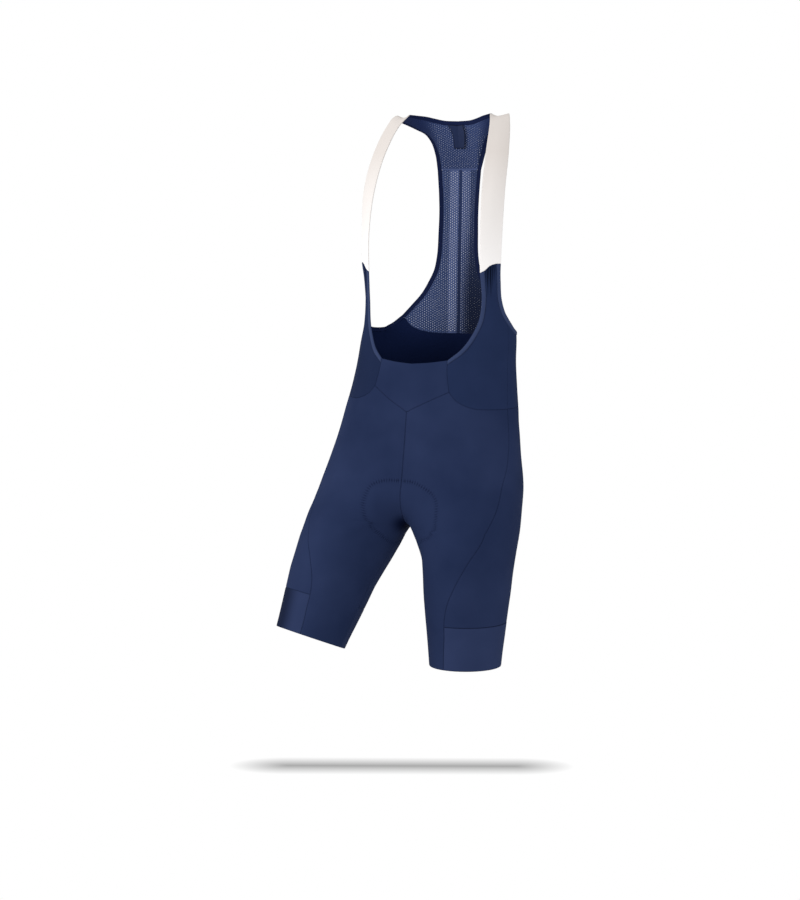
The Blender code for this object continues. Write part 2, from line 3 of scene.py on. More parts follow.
import bmesh
import bpy
import numpy as np
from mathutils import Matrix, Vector


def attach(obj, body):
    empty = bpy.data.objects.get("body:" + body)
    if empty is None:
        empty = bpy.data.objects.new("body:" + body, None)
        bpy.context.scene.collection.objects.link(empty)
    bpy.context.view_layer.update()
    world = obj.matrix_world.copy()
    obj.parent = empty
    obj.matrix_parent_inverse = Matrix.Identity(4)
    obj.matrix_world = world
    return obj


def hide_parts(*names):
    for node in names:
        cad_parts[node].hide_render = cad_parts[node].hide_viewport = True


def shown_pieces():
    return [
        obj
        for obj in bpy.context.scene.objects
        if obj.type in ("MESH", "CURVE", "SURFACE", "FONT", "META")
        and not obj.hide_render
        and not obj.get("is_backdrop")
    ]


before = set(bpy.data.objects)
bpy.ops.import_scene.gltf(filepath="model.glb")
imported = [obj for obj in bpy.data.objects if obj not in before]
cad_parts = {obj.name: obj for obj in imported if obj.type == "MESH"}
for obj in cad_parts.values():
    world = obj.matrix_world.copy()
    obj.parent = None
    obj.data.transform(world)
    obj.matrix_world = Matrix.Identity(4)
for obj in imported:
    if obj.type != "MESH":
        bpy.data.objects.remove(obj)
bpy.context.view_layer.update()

mm = 0.001

# The garment hangs in the air as it is worn. Working lengths are millimetres, on a figure whose
# places are 'around' (percent of the half girth, 0 at centre front) and 'height' (below the straps).


def tableOf(columns, *rows):
    # named columns from rows of numbers
    return dict(zip(columns.split(), np.array(rows, float).T))


def path(*places):
    # a line on the figure by its places
    return tableOf("around height", *places)


figure = {
    "sections": tableOf(
        "height lobe half front middle back fillet",
        (-60, 0, 140, -20, 15, 94, 0),
        (-160, 0, 134, -50, 6, 91, 0),
        (-240, 0, 126, -63, 0, 84, 0),
        (-300, 0, 130, -62, -1, 76, 0),
        (-350, 0, 135, -73, -2, 73, 2),
        (-392, 0, 136, -87, -4, 74, 4),
        (-430, 3, 138, -91, -6, 76, 8),
        (-469, 12, 136, -93, -9, 79, 12),
        (-530, 34, 123, -92, -14, 86, 16),
        (-590, 60, 105, -95, -23, 90, 18),
        (-625, 80.5, 86, -104, -34, 74, 14),
        (-650, 90.5, 78, -112, -42, 58, 12),
        (-690, 92.5, 71.5, -117, -45, 45, 9),
        (-720, 91.5, 68.5, -117, -46, 38, 7),
        (-752, 90, 66.5, -115, -46, 32, 6),
        (-784, 88.5, 63.5, -111, -46, 26, 6),
        (-816, 87.5, 60.5, -107, -46, 20, 6),
        (-848, 86.5, 57.5, -104, -46, 13, 6),
        (-885, 85.5, 54.5, -101, -46, 10, 6),
    ),
    "sway": tableOf("height across", (20, 0), (-220, 1), (-330, 6), (-390, 5), (-540, -6), (-900, -6)),
    "parting": (-590, -720, 0.1),  # the levels between which the legs part, and the step
    "fan": 241,
    "strapCrest": 60,
}

pose = {
    "lean": (-0.254, -0.374),  # slopes of the lifted right leg, outward and forward
    "axis": (86, -40),
    "bendTop": -479,
    "bendEnd": -746,
    "tiltLength": 436,
    "tilt": 0.9,
    "rideUp": 0.95,
    "reach": {1: 60, -1: 120},
    "trimFrom": 108,  # from this far out the right side's cloth lies further in
    "trimWidth": 14,
    "trim": tableOf(
        "height inward", (20, 0), (-210, 0), (-235, 0), (-256, 3), (-288, 6), (-315, 8.5), (-340, 7.5),
        (-368, 4.5), (-400, 2.5), (-440, 1.2), (-480, 0), (-615, 0), (-650, 4.5), (-700, 0), (-900, 0),
    ),
}


def along(shape, at, column=None):
    # a table's column (the second if none is named) at values of its first, cubic through the rows:
    # each stretch runs on Hermite weights, with slopes from the rows beside it
    key, second, *_ = shape.values()
    value = shape[column] if column else second
    if key[0] > key[-1]:
        key, value = key[::-1], value[::-1]
    slope = np.gradient(value, key)
    low = np.clip(np.searchsorted(key, at) - 1, 0, len(key) - 2)
    width = key[low + 1] - key[low]
    t = np.clip((at - key[low]) / width, 0, 1)
    rise = (1 + 2 * t) * (1 - t) ** 2 * value[low] + t * t * (3 - 2 * t) * value[low + 1]
    return rise + width * t * (1 - t) * ((1 - t) * slope[low] - t * slope[low + 1])


def smoothStep(t):
    # three t squared less two t cubed, held at 0 and 1 outside
    t = np.clip(t, 0, 1)
    return t * t * (3 - 2 * t)


def unit(vectors):
    # vectors at a length of one
    return vectors / np.maximum(np.linalg.norm(vectors, axis=-1), 1e-9)[..., None]


def runOf(points, axis=0):
    # how far each point is from the first, along the straight steps between them
    steps = np.linalg.norm(np.diff(points, axis=axis), axis=-1)
    return np.concatenate([0 * steps.take([0], axis), np.cumsum(steps, axis=axis)], axis=axis)


def sizeAt(height):
    # the figure's sizes at a height
    return {column: along(figure["sections"], height, column) for column in figure["sections"]}


def section(turn, height):
    # half a level section: a round lobe beside the middle, turn -1 at centre front and 1 at centre
    # back; x is the root of the lobe's reach squared less the fillet squared
    size = sizeAt(height)
    reach = np.arccos(np.clip((size["fillet"] - size["lobe"]) / size["half"], -1, 1))
    angle = turn * reach
    deep = np.where(angle < 0, size["middle"] - size["front"], size["back"] - size["middle"])
    out = size["lobe"] + size["half"] * np.cos(angle)
    return np.sqrt(np.maximum(out * out - size["fillet"] ** 2, 0)), size["middle"] + deep * np.sin(angle)


# the legs part at the level at which the lobe is clear of the fillet
start, end, step = figure["parting"]
levels = np.arange(start, end, -step)
size = sizeAt(levels)
crotch = float(levels[np.argmax(size["lobe"] - size["half"] >= size["fillet"])])


def runRound(height):
    # how far each point of a fan round half the section is from centre front, along the cloth
    places = section(np.linspace(-1, 1, figure["fan"])[None], height[:, None])
    return runOf(np.stack(places, axis=-1), axis=1)


girthLevels = np.arange(-900.0, 22.0, 2.0)
girthValues = runRound(girthLevels)[:, -1]


def girth(height):
    # half the girth at each height, read from levels 2 mm apart
    return np.interp(height, girthLevels, girthValues)


def turnAt(around, height, portion=4000):
    # the turn whose run along the cloth is the wanted share of the half girth
    wantedShare, levels = around.ravel(), height.ravel()
    fan = np.linspace(-1, 1, figure["fan"])
    turn = np.empty_like(wantedShare)
    for first in range(0, len(levels), portion):
        part = slice(first, first + portion)
        run = runRound(levels[part])
        want = wantedShare[part] / 100 * run[:, -1]
        low = np.clip((run <= want[:, None]).sum(axis=1) - 1, 0, figure["fan"] - 2)
        each = np.arange(len(want))
        share = (want - run[each, low]) / (run[each, low + 1] - run[each, low])
        turn[part] = fan[low] + share * (fan[1] - fan[0])
    return turn.reshape(around.shape)


def leaned(points):
    # points of the right leg, its axis bent on an arc at the hip and straight below
    slope = math.hypot(*pose["lean"])
    heading = np.array(pose["lean"]) / slope
    full = math.atan(slope)
    z = points[..., 2]
    length = pose["bendTop"] - pose["bendEnd"]
    t = np.clip((pose["bendTop"] - z) / length, 0, 1)
    below = np.maximum(pose["bendEnd"] - z, 0)
    run = length / full * (1 - np.cos(full * t)) + below * math.sin(full)
    fall = length / full * np.sin(full * t) + below * math.cos(full)
    angle = pose["tilt"] * full * smoothStep((pose["bendTop"] - z) / pose["tiltLength"])
    reach = (points[..., :2] - np.array([-pose["axis"][0], pose["axis"][1]])) @ heading
    moved = points.copy()
    moved[..., :2] += (run + reach * (np.cos(angle) - 1))[..., None] * heading
    moved[..., 2] = np.where(z > pose["bendTop"], z, pose["bendTop"] - pose["rideUp"] * fall)
    moved[..., 2] += reach * np.sin(angle)
    return moved


def posed(points, side):
    # each side takes its own leg's pose fully only some way from the crotch, and half of it there
    points = points.copy()
    if side < 0:
        outer = smoothStep((-points[..., 0] - pose["trimFrom"]) / pose["trimWidth"])
        points[..., 0] += outer * along(pose["trim"], points[..., 2])
    apart = np.hypot(points[..., 0], np.maximum(crotch - points[..., 2], 0))
    own = 0.5 + 0.5 * smoothStep(apart / pose["reach"][side])
    share = own if side < 0 else 1 - own
    moved = points + share[..., None] * (leaned(points) - points)
    moved[..., 0] += along(figure["sway"], moved[..., 2])
    moved[..., 1] -= figure["strapCrest"]
    return moved


def onFigure(flat, side):
    # world places of points given by around and height
    around, height = flat[..., 0], flat[..., 1]
    x, y = section(turnAt(around, height), height)
    return posed(np.stack([side * x, y, height], axis=-1), side)


def unposed(points, side):
    # trunk points taken back to the neutral left half
    back = points + np.array([0, figure["strapCrest"], 0])
    back[..., 0] -= along(figure["sway"], back[..., 2])
    return back * np.array([side, 1, 1])


def reposed(points, side):
    # points of the neutral left half, posed on their own side
    return posed(points * np.array([side, 1, 1]), side)


# Cut lines. A line is many points; where it is sampled, it is by its share of length.
dense = 181
percentLength = 3.4  # one percent around is about this long
sides = ((1, "Left"), (-1, "Right"))


def unrolled(flat):
    # millimetres from centre front along the cloth, and the height
    return np.stack([flat[..., 0] / 100 * girth(flat[..., 1]), flat[..., 1]], axis=-1)


def lineOf(shape, count=dense):
    # smooth line through a table's rows, evenly spaced by length
    rows = np.stack(list(shape.values()), axis=-1)
    weight = [percentLength if name == "around" else 1 for name in shape]
    track = {"run": runOf(rows * weight), **shape}
    at = np.linspace(0, track["run"][-1], count)
    return np.stack([along(track, at, name) for name in shape], axis=-1)


def withRow(shape, row, atEnd=False):
    # a table with one more row at its start or end
    at = len(next(iter(shape.values()))) if atEnd else 0
    return {name: np.insert(shape[name], at, value) for name, value in zip(shape, row)}


def joined(*lines):
    # lines laid end to end
    return np.concatenate([lines[0]] + [later[1:] for later in lines[1:]])


def sampled(line, shares):
    # points at shares of a line's length
    run = runOf(line * [percentLength, 1] if line.shape[1] == 2 else line)
    return np.stack([np.interp(shares, run / run[-1], column) for column in line.T], axis=-1)


def inset(rim, width):
    # a line on the figure one width inside a rim, square to it
    place = unrolled(rim)
    step = unit(np.gradient(place, axis=0))
    across, height = place[:, 0] + width * step[:, 1], place[:, 1] - width * step[:, 0]
    return np.stack([across / girth(height) * 100, height], axis=-1)


def beside(rim, opposite, width):
    # a line one width inside a rim, towards the opposite line and square to the rim
    heading = unit(np.gradient(rim, axis=0))
    toward = opposite - rim
    toward -= np.sum(toward * heading, axis=1)[:, None] * heading
    return rim + width * unit(toward)


def pinned(line, start, end, over=0.15):
    # a line whose ends are moved onto given places, the move fading along it
    share = np.linspace(0, 1, len(line))[:, None]
    first, last = np.array(start) - line[0], np.array(end) - line[-1]
    return line + first * smoothStep(1 - share / over) + last * smoothStep(1 - (1 - share) / over)


cut = {
    "binding": 7.0,
    "strapWidth": 33.0,
    "yokeStart": 0.14,  # the neckline's binding meets the yoke this far down the yoke's side
    "yokeSeam": -88,
    "cuffTop": -797,
    "hem": -867,
    "neckline": path((32, -249), (32, -290), (30, -325), (27, -346), (22.5, -368), (17, -384)),
    "yokeTop": path((0, -390), (8, -388), (17, -384)),
    "yokeSide": path((17, -384), (17.5, -408), (18.5, -433)),
    "yokeFoot": path((0, -465), (9, -449), (18.5, -433)),
    "frontWaist": path((18.5, -433), (21.5, -446), (26, -455), (30, -459), (35, -460), (44.5, -460)),
    "backWaist": path((44.5, -460), (60, -458), (80, -455), (100, -452)),
    "frontStrap": path((32, -249), (34, -246), (37, -238), (40, -235), (43, -235)),
    "armholeFront": path((43, -235), (42.5, -262), (42.3, -292), (44, -312), (46.5, -324)),
    "armholeFoot": path((46.5, -324), (50, -335), (58, -341), (65, -337), (71, -322)),
    "armholeBack": path(
        (71, -322), (75.5, -305), (80.5, -286), (84, -267), (86.8, -248), (88.2, -227), (89, -189),
        (89.3, -158), (89, -129), (88, -88),
    ),
    "sideSeam": path((45.5, -350), (46, -385), (45.5, -425), (44.5, -460)),
    "meshSeam": path((76, -339), (82, -347), (90, -350), (100, -350)),
    "thighSeam": tableOf(
        "height around", (-460, 44.5), (-510, 44), (-548, 42), (-577, 39), (-617, 37), (-641, 35),
        (-665, 33.5), (-700, 30), (-736, 26.5), (-765, 24), (-785, 23), (-820, 22.5), (-870, 22),
    ),
    "backNeck": tableOf(
        "x y z", (72, 53, 0), (61, 63, -1), (50, 71, -2.5), (36, 78, -6), (25, 81.5, -8.5), (0, 84, -10),
    ),
    "wing": tableOf("x y z", (95, 72, -12), (75, 82, -22), (61, 88, -30), (52, 91, -42), (45, 93, -62)),
    "strapInner": tableOf(
        "x y z", (72, 53, 0), (78, 40, -12), (88, 7, -56), (94.5, -22, -120), (98, -36, -190),
    ),
    "strapOuter": tableOf(
        "x y z", (95, 72, -12), (96.5, 69.5, -4), (100, 64.5, -0.5), (104, 58, -4), (109, 49, -16),
        (119, 25, -56), (125, -1, -120), (124, -10, -190),
    ),
}
bindShare = cut["binding"] / cut["strapWidth"]

waistLift = {
    "from": -384,
    "over": 50,
    "rise": tableOf(
        "around up", (0, 0), (9, 2), (18.5, 6), (30, 10), (44.5, 12), (60, 9), (80, 3), (100, 0),
    ),
}


def lifted(line):
    # the stepping leg draws the right side's waist seam up, more towards its foot and the hip
    down = smoothStep((waistLift["from"] - line[:, 1]) / waistLift["over"])
    return line + np.stack([0 * down, down * along(waistLift["rise"], line[:, 0])], axis=-1)


def cutLines(side):
    # every seam of one half, with the bindings' inner lines one binding's width in
    plain = "neckline yokeTop yokeSide yokeFoot frontWaist backWaist frontStrap"
    own = {name: lineOf(cut[name]) for name in plain.split()}
    seamStart, seamEnd = sampled(own["frontStrap"], [bindShare, 1 - bindShare])
    inner = inset(own["neckline"][::-1], cut["binding"])[::-1]
    own["neckInner"] = pinned(inner, seamStart, sampled(own["yokeSide"], [cut["yokeStart"]])[0])
    own["armRim"] = joined(*(lineOf(cut[name]) for name in ("armholeFront", "armholeFoot", "armholeBack")))
    inner = inset(own["armRim"], cut["binding"])
    inner = pinned(inner, seamEnd, (inner[-1, 0], cut["yokeSeam"]), over=0.05)
    sideAt, meshAt = dense - 1, 2 * (dense - 1)
    own["armInner"], own["armFront"] = inner, inner[: sideAt + 1]
    own["armFoot"], own["armBack"] = inner[sideAt : meshAt + 1], inner[meshAt:]
    own["sideSeam"] = lineOf(withRow(cut["sideSeam"], own["armFront"][-1]))
    own["meshSeam"] = lineOf(withRow(cut["meshSeam"], own["armFoot"][-1]))
    if side < 0:
        for name in ("yokeSide", "yokeFoot", "frontWaist", "backWaist", "sideSeam"):
            own[name] = lifted(own[name])
    return own


lines = {side: cutLines(side) for side in (1, -1)}
print("cut lines ready, crotch at", round(crotch, 1))

edgeRun = np.array([0, 0.35, 0.8, 1.4, 2.2, 3.4])  # the points beside an edge, in millimetres from it


def spread(length, cell):
    # shares of a length: close rows of points near both ends, and even cells between
    last = edgeRun[-1]
    middle = np.linspace(last, length - last, max(2, round((length - 2 * last) / cell) + 1))
    return np.concatenate([edgeRun[:-1], middle, length - edgeRun[-2::-1]]) / length


def sharesOf(size):
    # a piece's columns and rows as shares; a half that ends at the middle uses a part of the columns
    across, down = spread(*size["across"])[size.get("part", slice(None))], spread(*size["down"])
    return (across - across[0]) / (across[-1] - across[0]), down


def coons(top, bottom, left, right, across, down):
    # the two blends between facing sides less the blend of the corners
    u, v = across[None, :, None], down[:, None, None]
    between = (1 - u) * left[:, None] + u * right[:, None] + (1 - v) * top[None] + v * bottom[None]
    return between - (1 - v) * ((1 - u) * top[0] + u * top[-1]) - v * ((1 - u) * bottom[0] + u * bottom[-1])


def patch(top, bottom, left, right, size):
    # a Coons patch between four lines
    across, down = sharesOf(size)
    ends = sampled(top, across), sampled(bottom, across)
    return coons(*ends, sampled(left, down), sampled(right, down), across, down)


def bothHalves(make, front=True):
    # the two halves as one grid: right to left across the front, left to right across the back
    pairs = zip(make(1), make(-1))
    if front:
        return [np.concatenate([right[:, ::-1], left[:, 1:]], axis=1) for left, right in pairs]
    return [np.concatenate([left, right[:, -2::-1]], axis=1) for left, right in pairs]


# Relief in the cloth, all in millimetres along the outward normal.
# A crease is a soft trough (or ridge) on a line from one place on the figure to another.
creases = tableOf(
    "side around1 height1 around2 height2 width depth",
    (0, 0, -470, 0, -640, 4, -0.7),
    (1, 9, -560, 14, -640, 13, -1.6),
    (1, 4, -505, 15, -545, 14, -0.9),
    (1, 20, -600, 26, -700, 16, 1.1),
    (1, 36, -520, 30, -600, 12, -0.9),
    (1, 48, -640, 40, -720, 14, -0.9),
    (1, 70, -660, 88, -640, 9, -1.8),
    (1, 60, -700, 84, -668, 8, -1.1),
    (1, 93, -560, 86, -625, 12, -1.2),
    (1, 55, -480, 72, -500, 14, -0.8),
    (-1, 8, -540, 20, -580, 12, -1.5),
    (-1, 6, -500, 18, -520, 12, -0.9),
    (-1, 10, -620, 22, -690, 13, 1.2),
    (-1, 28, -560, 38, -610, 12, -1.2),
    (-1, 30, -640, 38, -740, 14, -0.8),
    (-1, 72, -640, 88, -655, 9, -1.6),
    (-1, 58, -600, 78, -560, 15, -1.1),
    (-1, 94, -540, 84, -600, 12, -1.3),
    (-1, 62, -480, 76, -492, 13, -0.8),
    (0, 24, -330, 30, -440, 11, -0.7),
    (0, 36, -300, 38, -400, 9, 0.6),
    (0, 50, -360, 52, -450, 10, -0.7),
    (0, 66, -352, 72, -440, 11, -0.8),
    (0, 84, -370, 90, -440, 12, 0.7),
    (0, 40, -455, 22, -440, 6, 0.5),
)


def creased(flat, side):
    # bell-shaped across each line, deepest halfway along, fading over one width past its ends
    place = unrolled(flat)
    total = np.zeros(place.shape[:-1])
    for which, around1, height1, around2, height2, width, depth in zip(*creases.values()):
        if which == -side:
            continue
        start, end = unrolled(np.array([(around1, height1), (around2, height2)]))
        run = end - start
        t = np.clip((place - start) @ run / (run @ run), 0, 1)
        off = np.linalg.norm(place - start - t[..., None] * run, axis=-1) / width
        total += depth * np.exp(-off * off) * (0.55 + 0.45 * np.sin(np.pi * t))
    return total


padRim = tableOf(
    "turn reach", (0, 84), (25, 86), (45, 80), (70, 66), (90, 60), (135, 54), (180, 56), (225, 60),
    (270, 70), (315, 88), (340, 96), (360, 92),
)
padStitch = {
    # the stitched outline on each half: in front, and behind as percent from centre back
    1: path(
        (0, -577), (4.7, -577), (9.1, -584), (12.9, -594), (14.6, -606), (15.3, -622), (16.1, -636),
        (17.1, -650), (15.5, -659), (11.6, -667), (6, -677), (0, -682),
    ),
    -1: path(
        (0, -577), (4, -577), (7.2, -579), (10.9, -587), (12.6, -605), (12.8, -626), (12.6, -640),
        (12.4, -653), (8.5, -667), (3.2, -680), (0, -684),
    ),
    0: path(
        (0, -557), (6, -560), (11, -575), (14, -600), (15.5, -630), (17, -650), (14, -665), (6, -678),
        (0, -683),
    ),
    "near": (24, -712, -530),  # the part of the figure that it can touch
    "pitch": 4.2,  # one pucker
    "depth": 0.5,
    "width": 3.0,
    "groove": (0.25, 2.2),
    "swell": (1.0, 18),  # the pad lifts the cloth a little inside its outline
    "shade": 0.55,
}


def padRelief(flat, side):
    # ripples with the run along the outline, bell-shaped across it, and a low swell inside; painted shade in
    # the ripples' troughs
    relief, shade = np.zeros(flat.shape[:-1]), np.zeros(flat.shape[:-1])
    widest, lowest, highest = padStitch["near"]
    (groove, grooveWidth), (swell, swellWidth) = padStitch["groove"], padStitch["swell"]
    for which, share in ((side, flat[..., 0]), (0, 100 - flat[..., 0])):
        rim = lineOf(padStitch[which], 400)
        place = unrolled(rim)
        near = (share < widest) & (flat[..., 1] > lowest) & (flat[..., 1] < highest)
        here = np.stack([share[near], flat[..., 1][near]], axis=-1)
        off = np.linalg.norm(unrolled(here)[:, None] - place[None], axis=2)
        run, off = runOf(place)[off.argmin(axis=1)], off.min(axis=1)
        inside = here[:, 0] < np.interp(-here[:, 1], -rim[:, 1], rim[:, 0], left=0, right=0)
        ripple = np.sin(2 * np.pi * run / padStitch["pitch"]) * np.exp(-(off / padStitch["width"]) ** 2)
        relief[near] += padStitch["depth"] * ripple - groove * np.exp(-(off / grooveWidth) ** 2)
        relief[near] += swell * smoothStep(off / swellWidth) * inside
        shade[near] = np.maximum(shade[near], np.clip(-padStitch["shade"] * ripple, 0, 1))
    return relief, shade


hollow = {"below": 4, "wide": 15, "tall": 19, "depth": 1.0}  # the deep shade beside the crotch


def clothOn(flat, side):
    # places, relief and the painted shade: in the puckers, and on the lifted leg near the crotch, falling off
    # by the fourth power of the distance
    places = onFigure(flat, side)
    relief, shade = padRelief(flat, side)
    middle = onFigure(np.array([(0, crotch)]), side)[0]
    wide = (places[..., 0] - middle[0]) / hollow["wide"]
    tall = (places[..., 2] - middle[2] + hollow["below"]) / hollow["tall"]
    dark = hollow["depth"] * np.exp(-((wide * wide + tall * tall) ** 2)) * (side < 0)
    return places, creased(flat, side) + relief, np.maximum(shade, dark)


def gridNormals(grid, side):
    # the cross of the grid's two directions, outward
    return unit(side * np.cross(np.gradient(grid, axis=0), np.gradient(grid, axis=1)))


def closedFaces(index, rim):
    # four-cornered faces over a grid of vertex numbers, the same turned over on the second face, and
    # the band between the two rims
    corners = [index[:-1, :-1], index[1:, :-1], index[1:, 1:], index[:-1, 1:]]
    front, count = np.stack(corners, axis=-1).reshape(-1, 4), index.max() + 1
    band = np.stack([rim[1:], rim[:-1], count + rim[:-1], count + rim[1:]], axis=-1)
    return np.concatenate([front, front[:, ::-1] + count, band])


def floats(values):
    # one row of the numbers that a mesh takes
    return np.asarray(values, np.float32).ravel()


def newObject(name, data):
    # an object in the scene
    thing = bpy.data.objects.new(name, data)
    bpy.context.scene.collection.objects.link(thing)
    return thing


def meshObject(name, faces, quads, uv, material, marks):
    # both faces' points, the faces, a UV map in metres and the marks that the material reads
    mesh = bpy.data.meshes.new(name)
    mesh.vertices.add(faces[0].size // 3 * 2)
    mesh.vertices.foreach_set("co", floats(np.stack(faces) * mm))
    mesh.loops.add(quads.size)
    mesh.loops.foreach_set("vertex_index", quads.astype(np.int32).ravel())
    mesh.polygons.add(len(quads))
    mesh.polygons.foreach_set("loop_start", np.arange(0, quads.size, 4, dtype=np.int32))
    mesh.update(calc_edges=True)
    place = np.tile(np.stack(uv, axis=-1).reshape(-1, 2), (2, 1))
    mesh.uv_layers.new(name="cloth").data.foreach_set("uv", floats(place[quads.ravel()] * mm))
    marks["inside"] = np.repeat([0.0, 1.0], len(place) // 2)
    for mark, values in marks.items():
        mesh.attributes.new(mark, "FLOAT", "POINT").data.foreach_set("value", floats(values))
    mesh.materials.append(material)
    mesh.shade_smooth()
    return newObject(name, mesh)


def declare(piece, node):
    # the piece rides on the one body and stands for its solid
    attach(piece, "root")
    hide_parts(node)


def bare(grid, relief=0.0):
    # cloth with no creases
    zero = np.zeros(grid.shape[:2])
    return grid, zero + relief, zero


def sew(
    name, fabric, cloth, restsOn=(), side=1, node=None, wall=1.2, stretch=(1.15, 1.05), layers=(1, 1),
    held="stretched", rounding=0.6, seamPull=0.25, seamWidth=1.6, seamShade=0.25, border=0.0,
):
    # a closed wall round a grid: its faces lie half the wall off, thinning to a rounded rim, or at the
    # two distances given; the cloth dips towards its seams by a bell curve. The stretch and the layers
    # are not used
    grid, relief, shade, *uv = cloth
    normal = gridNormals(grid, side)
    across, down = runOf(grid, axis=1), runOf(grid)
    edge = np.minimum(np.minimum(across, across[:, -1:] - across), np.minimum(down, down[-1:] - down))
    thin = np.sqrt(np.clip(1 - (1 - np.clip(edge / rounding, 0, 1)) ** 2, 0.06, 1))
    offsets = wall if isinstance(wall, tuple) else (wall / 2 * thin, -wall / 2 * thin)
    # painted shade: darker by the seams, and wherever the shade mark is set
    dark = np.maximum(shade, seamShade * np.exp(-(2 * edge / seamWidth) ** 2))
    middle = grid + normal * (relief - seamPull * np.exp(-(edge / seamWidth) ** 2))[..., None]
    faces = [middle + normal * (offset + 0 * edge)[..., None] for offset in offsets]
    index = np.arange(edge.size).reshape(edge.shape)
    loop = np.concatenate([index[:, 0], index[-1, 1:], index[-2::-1, -1], index[0, -2:0:-1]])
    quads = closedFaces(index, np.append(loop, loop[0]))[:, ::side]
    marks = {"shade": np.tile(dark.ravel(), 2), "border": np.tile((edge < border).ravel(), 2)}
    piece = meshObject(name, faces, quads, uv or [across, down], fabric[0], marks)
    declare(piece, node or "".join("_" + c.lower() if c.isupper() else c for c in name))


# Materials
def hexColour(code):
    # sRGB hex to linear
    parts = [int(code[i : i + 2], 16) / 255 for i in (1, 3, 5)]
    return (*(c / 12.92 if c <= 0.04045 else ((c + 0.055) / 1.055) ** 2.4 for c in parts), 1.0)


def addNode(tree, kind, inputs=None, **settings):
    # one node with its settings; an input is a number, a hex colour or another node's output
    node = tree.nodes.new(kind)
    for name, value in settings.items():
        setattr(node, name, value)
    for name, value in (inputs or {}).items():
        if isinstance(value, bpy.types.NodeSocket):
            tree.links.new(value, node.inputs[name])
        else:
            node.inputs[name].default_value = hexColour(value) if isinstance(value, str) else value
    return node


def calculated(tree, operation, *values):
    # the result of one step of arithmetic
    return addNode(tree, "ShaderNodeMath", dict(enumerate(values)), operation=operation).outputs[0]


def ranged(tree, value, start, end, low=0.0, high=1.0, course="SMOOTHSTEP"):
    # low before the start, high after the end
    limits = {"Value": value, "From Min": start, "From Max": end, "To Min": low, "To Max": high}
    return addNode(tree, "ShaderNodeMapRange", limits, interpolation_type=course).outputs[0]


def blended(tree, share, first, second):
    # one colour going over into another
    return addNode(tree, "ShaderNodeMix", {0: share, 6: first, 7: second}, data_type="RGBA").outputs[2]


def markOf(tree, name):
    # a mark on the points of the piece
    return addNode(tree, "ShaderNodeAttribute", attribute_name=name).outputs["Fac"]


def flatPlace(tree):
    # metres across and down the cloth
    uv = addNode(tree, "ShaderNodeUVMap", uv_map="cloth").outputs["UV"]
    split = addNode(tree, "ShaderNodeSeparateXYZ", {0: uv})
    return split.outputs["X"], split.outputs["Y"]


def knitMaterial(name, look):
    # wales run down the UV map, courses across it; slow patches, partly the yarn's own tone and partly
    # painted sheen, or a fade of painted light with the height, vary the tone; the wrong side has its own
    # colour, darker on the panels, bindings and cuffs as painted shade for the garment's shaded inside
    material = bpy.data.materials.new(name)
    material.use_nodes = True
    tree = material.node_tree
    surface = tree.nodes["Principled BSDF"]
    surface.inputs["Roughness"].default_value = look["roughness"]
    surface.inputs["IOR"].default_value = 1.5
    surface.inputs["Specular IOR Level"].default_value = look["specular"]
    surface.inputs["Sheen Weight"].default_value = look["sheen"]
    surface.inputs["Sheen Roughness"].default_value = 0.4
    surface.inputs["Sheen Tint"].default_value = hexColour("#8f9dc4")
    wales, courses = (
        calculated(tree, "COSINE", calculated(tree, "MULTIPLY", run, 2 * math.pi / look[gap]))
        for run, gap in zip(flatPlace(tree), ("wale", "course"))
    )
    knit = calculated(tree, "MULTIPLY_ADD", courses, look["courseShare"], wales)
    place = addNode(tree, "ShaderNodeTexCoord").outputs["Object"]
    if isinstance(look["tone"], tuple):
        level = addNode(tree, "ShaderNodeSeparateXYZ", {0: place}).outputs["Z"]
        tone = ranged(tree, level, *look["tone"], course="LINEAR")
    else:
        patches = {"Vector": place, "Scale": 1 / look["tone"], "Detail": 3.0}
        patches = addNode(tree, "ShaderNodeTexNoise", patches).outputs[0]
        tone = ranged(tree, patches, 0.3, 0.7, course="LINEAR")
    colour = blended(tree, tone, look["colour"], look["second"])
    colour = blended(tree, markOf(tree, "inside"), colour, look["inside"])
    colour = blended(tree, markOf(tree, "shade"), colour, look["deep"])
    tree.links.new(colour, surface.inputs["Base Color"])
    relief = {"Height": knit, "Strength": look["bump"], "Distance": look["wale"] * 0.3}
    tree.links.new(addNode(tree, "ShaderNodeBump", relief).outputs[0], surface.inputs["Normal"])
    return material, tree, surface


def lookOf(*values):
    # the slot; colours of the right side, its second tone, the wrong side and the deepest painted shade;
    # metres between wales and between courses, and the courses' share of the bump; the size of the
    # patches of tone, or the two heights of a fade of painted light; then the finish
    names = "slot colour second inside deep wale course courseShare tone bump roughness specular sheen"
    return dict(zip(names.split(), values))


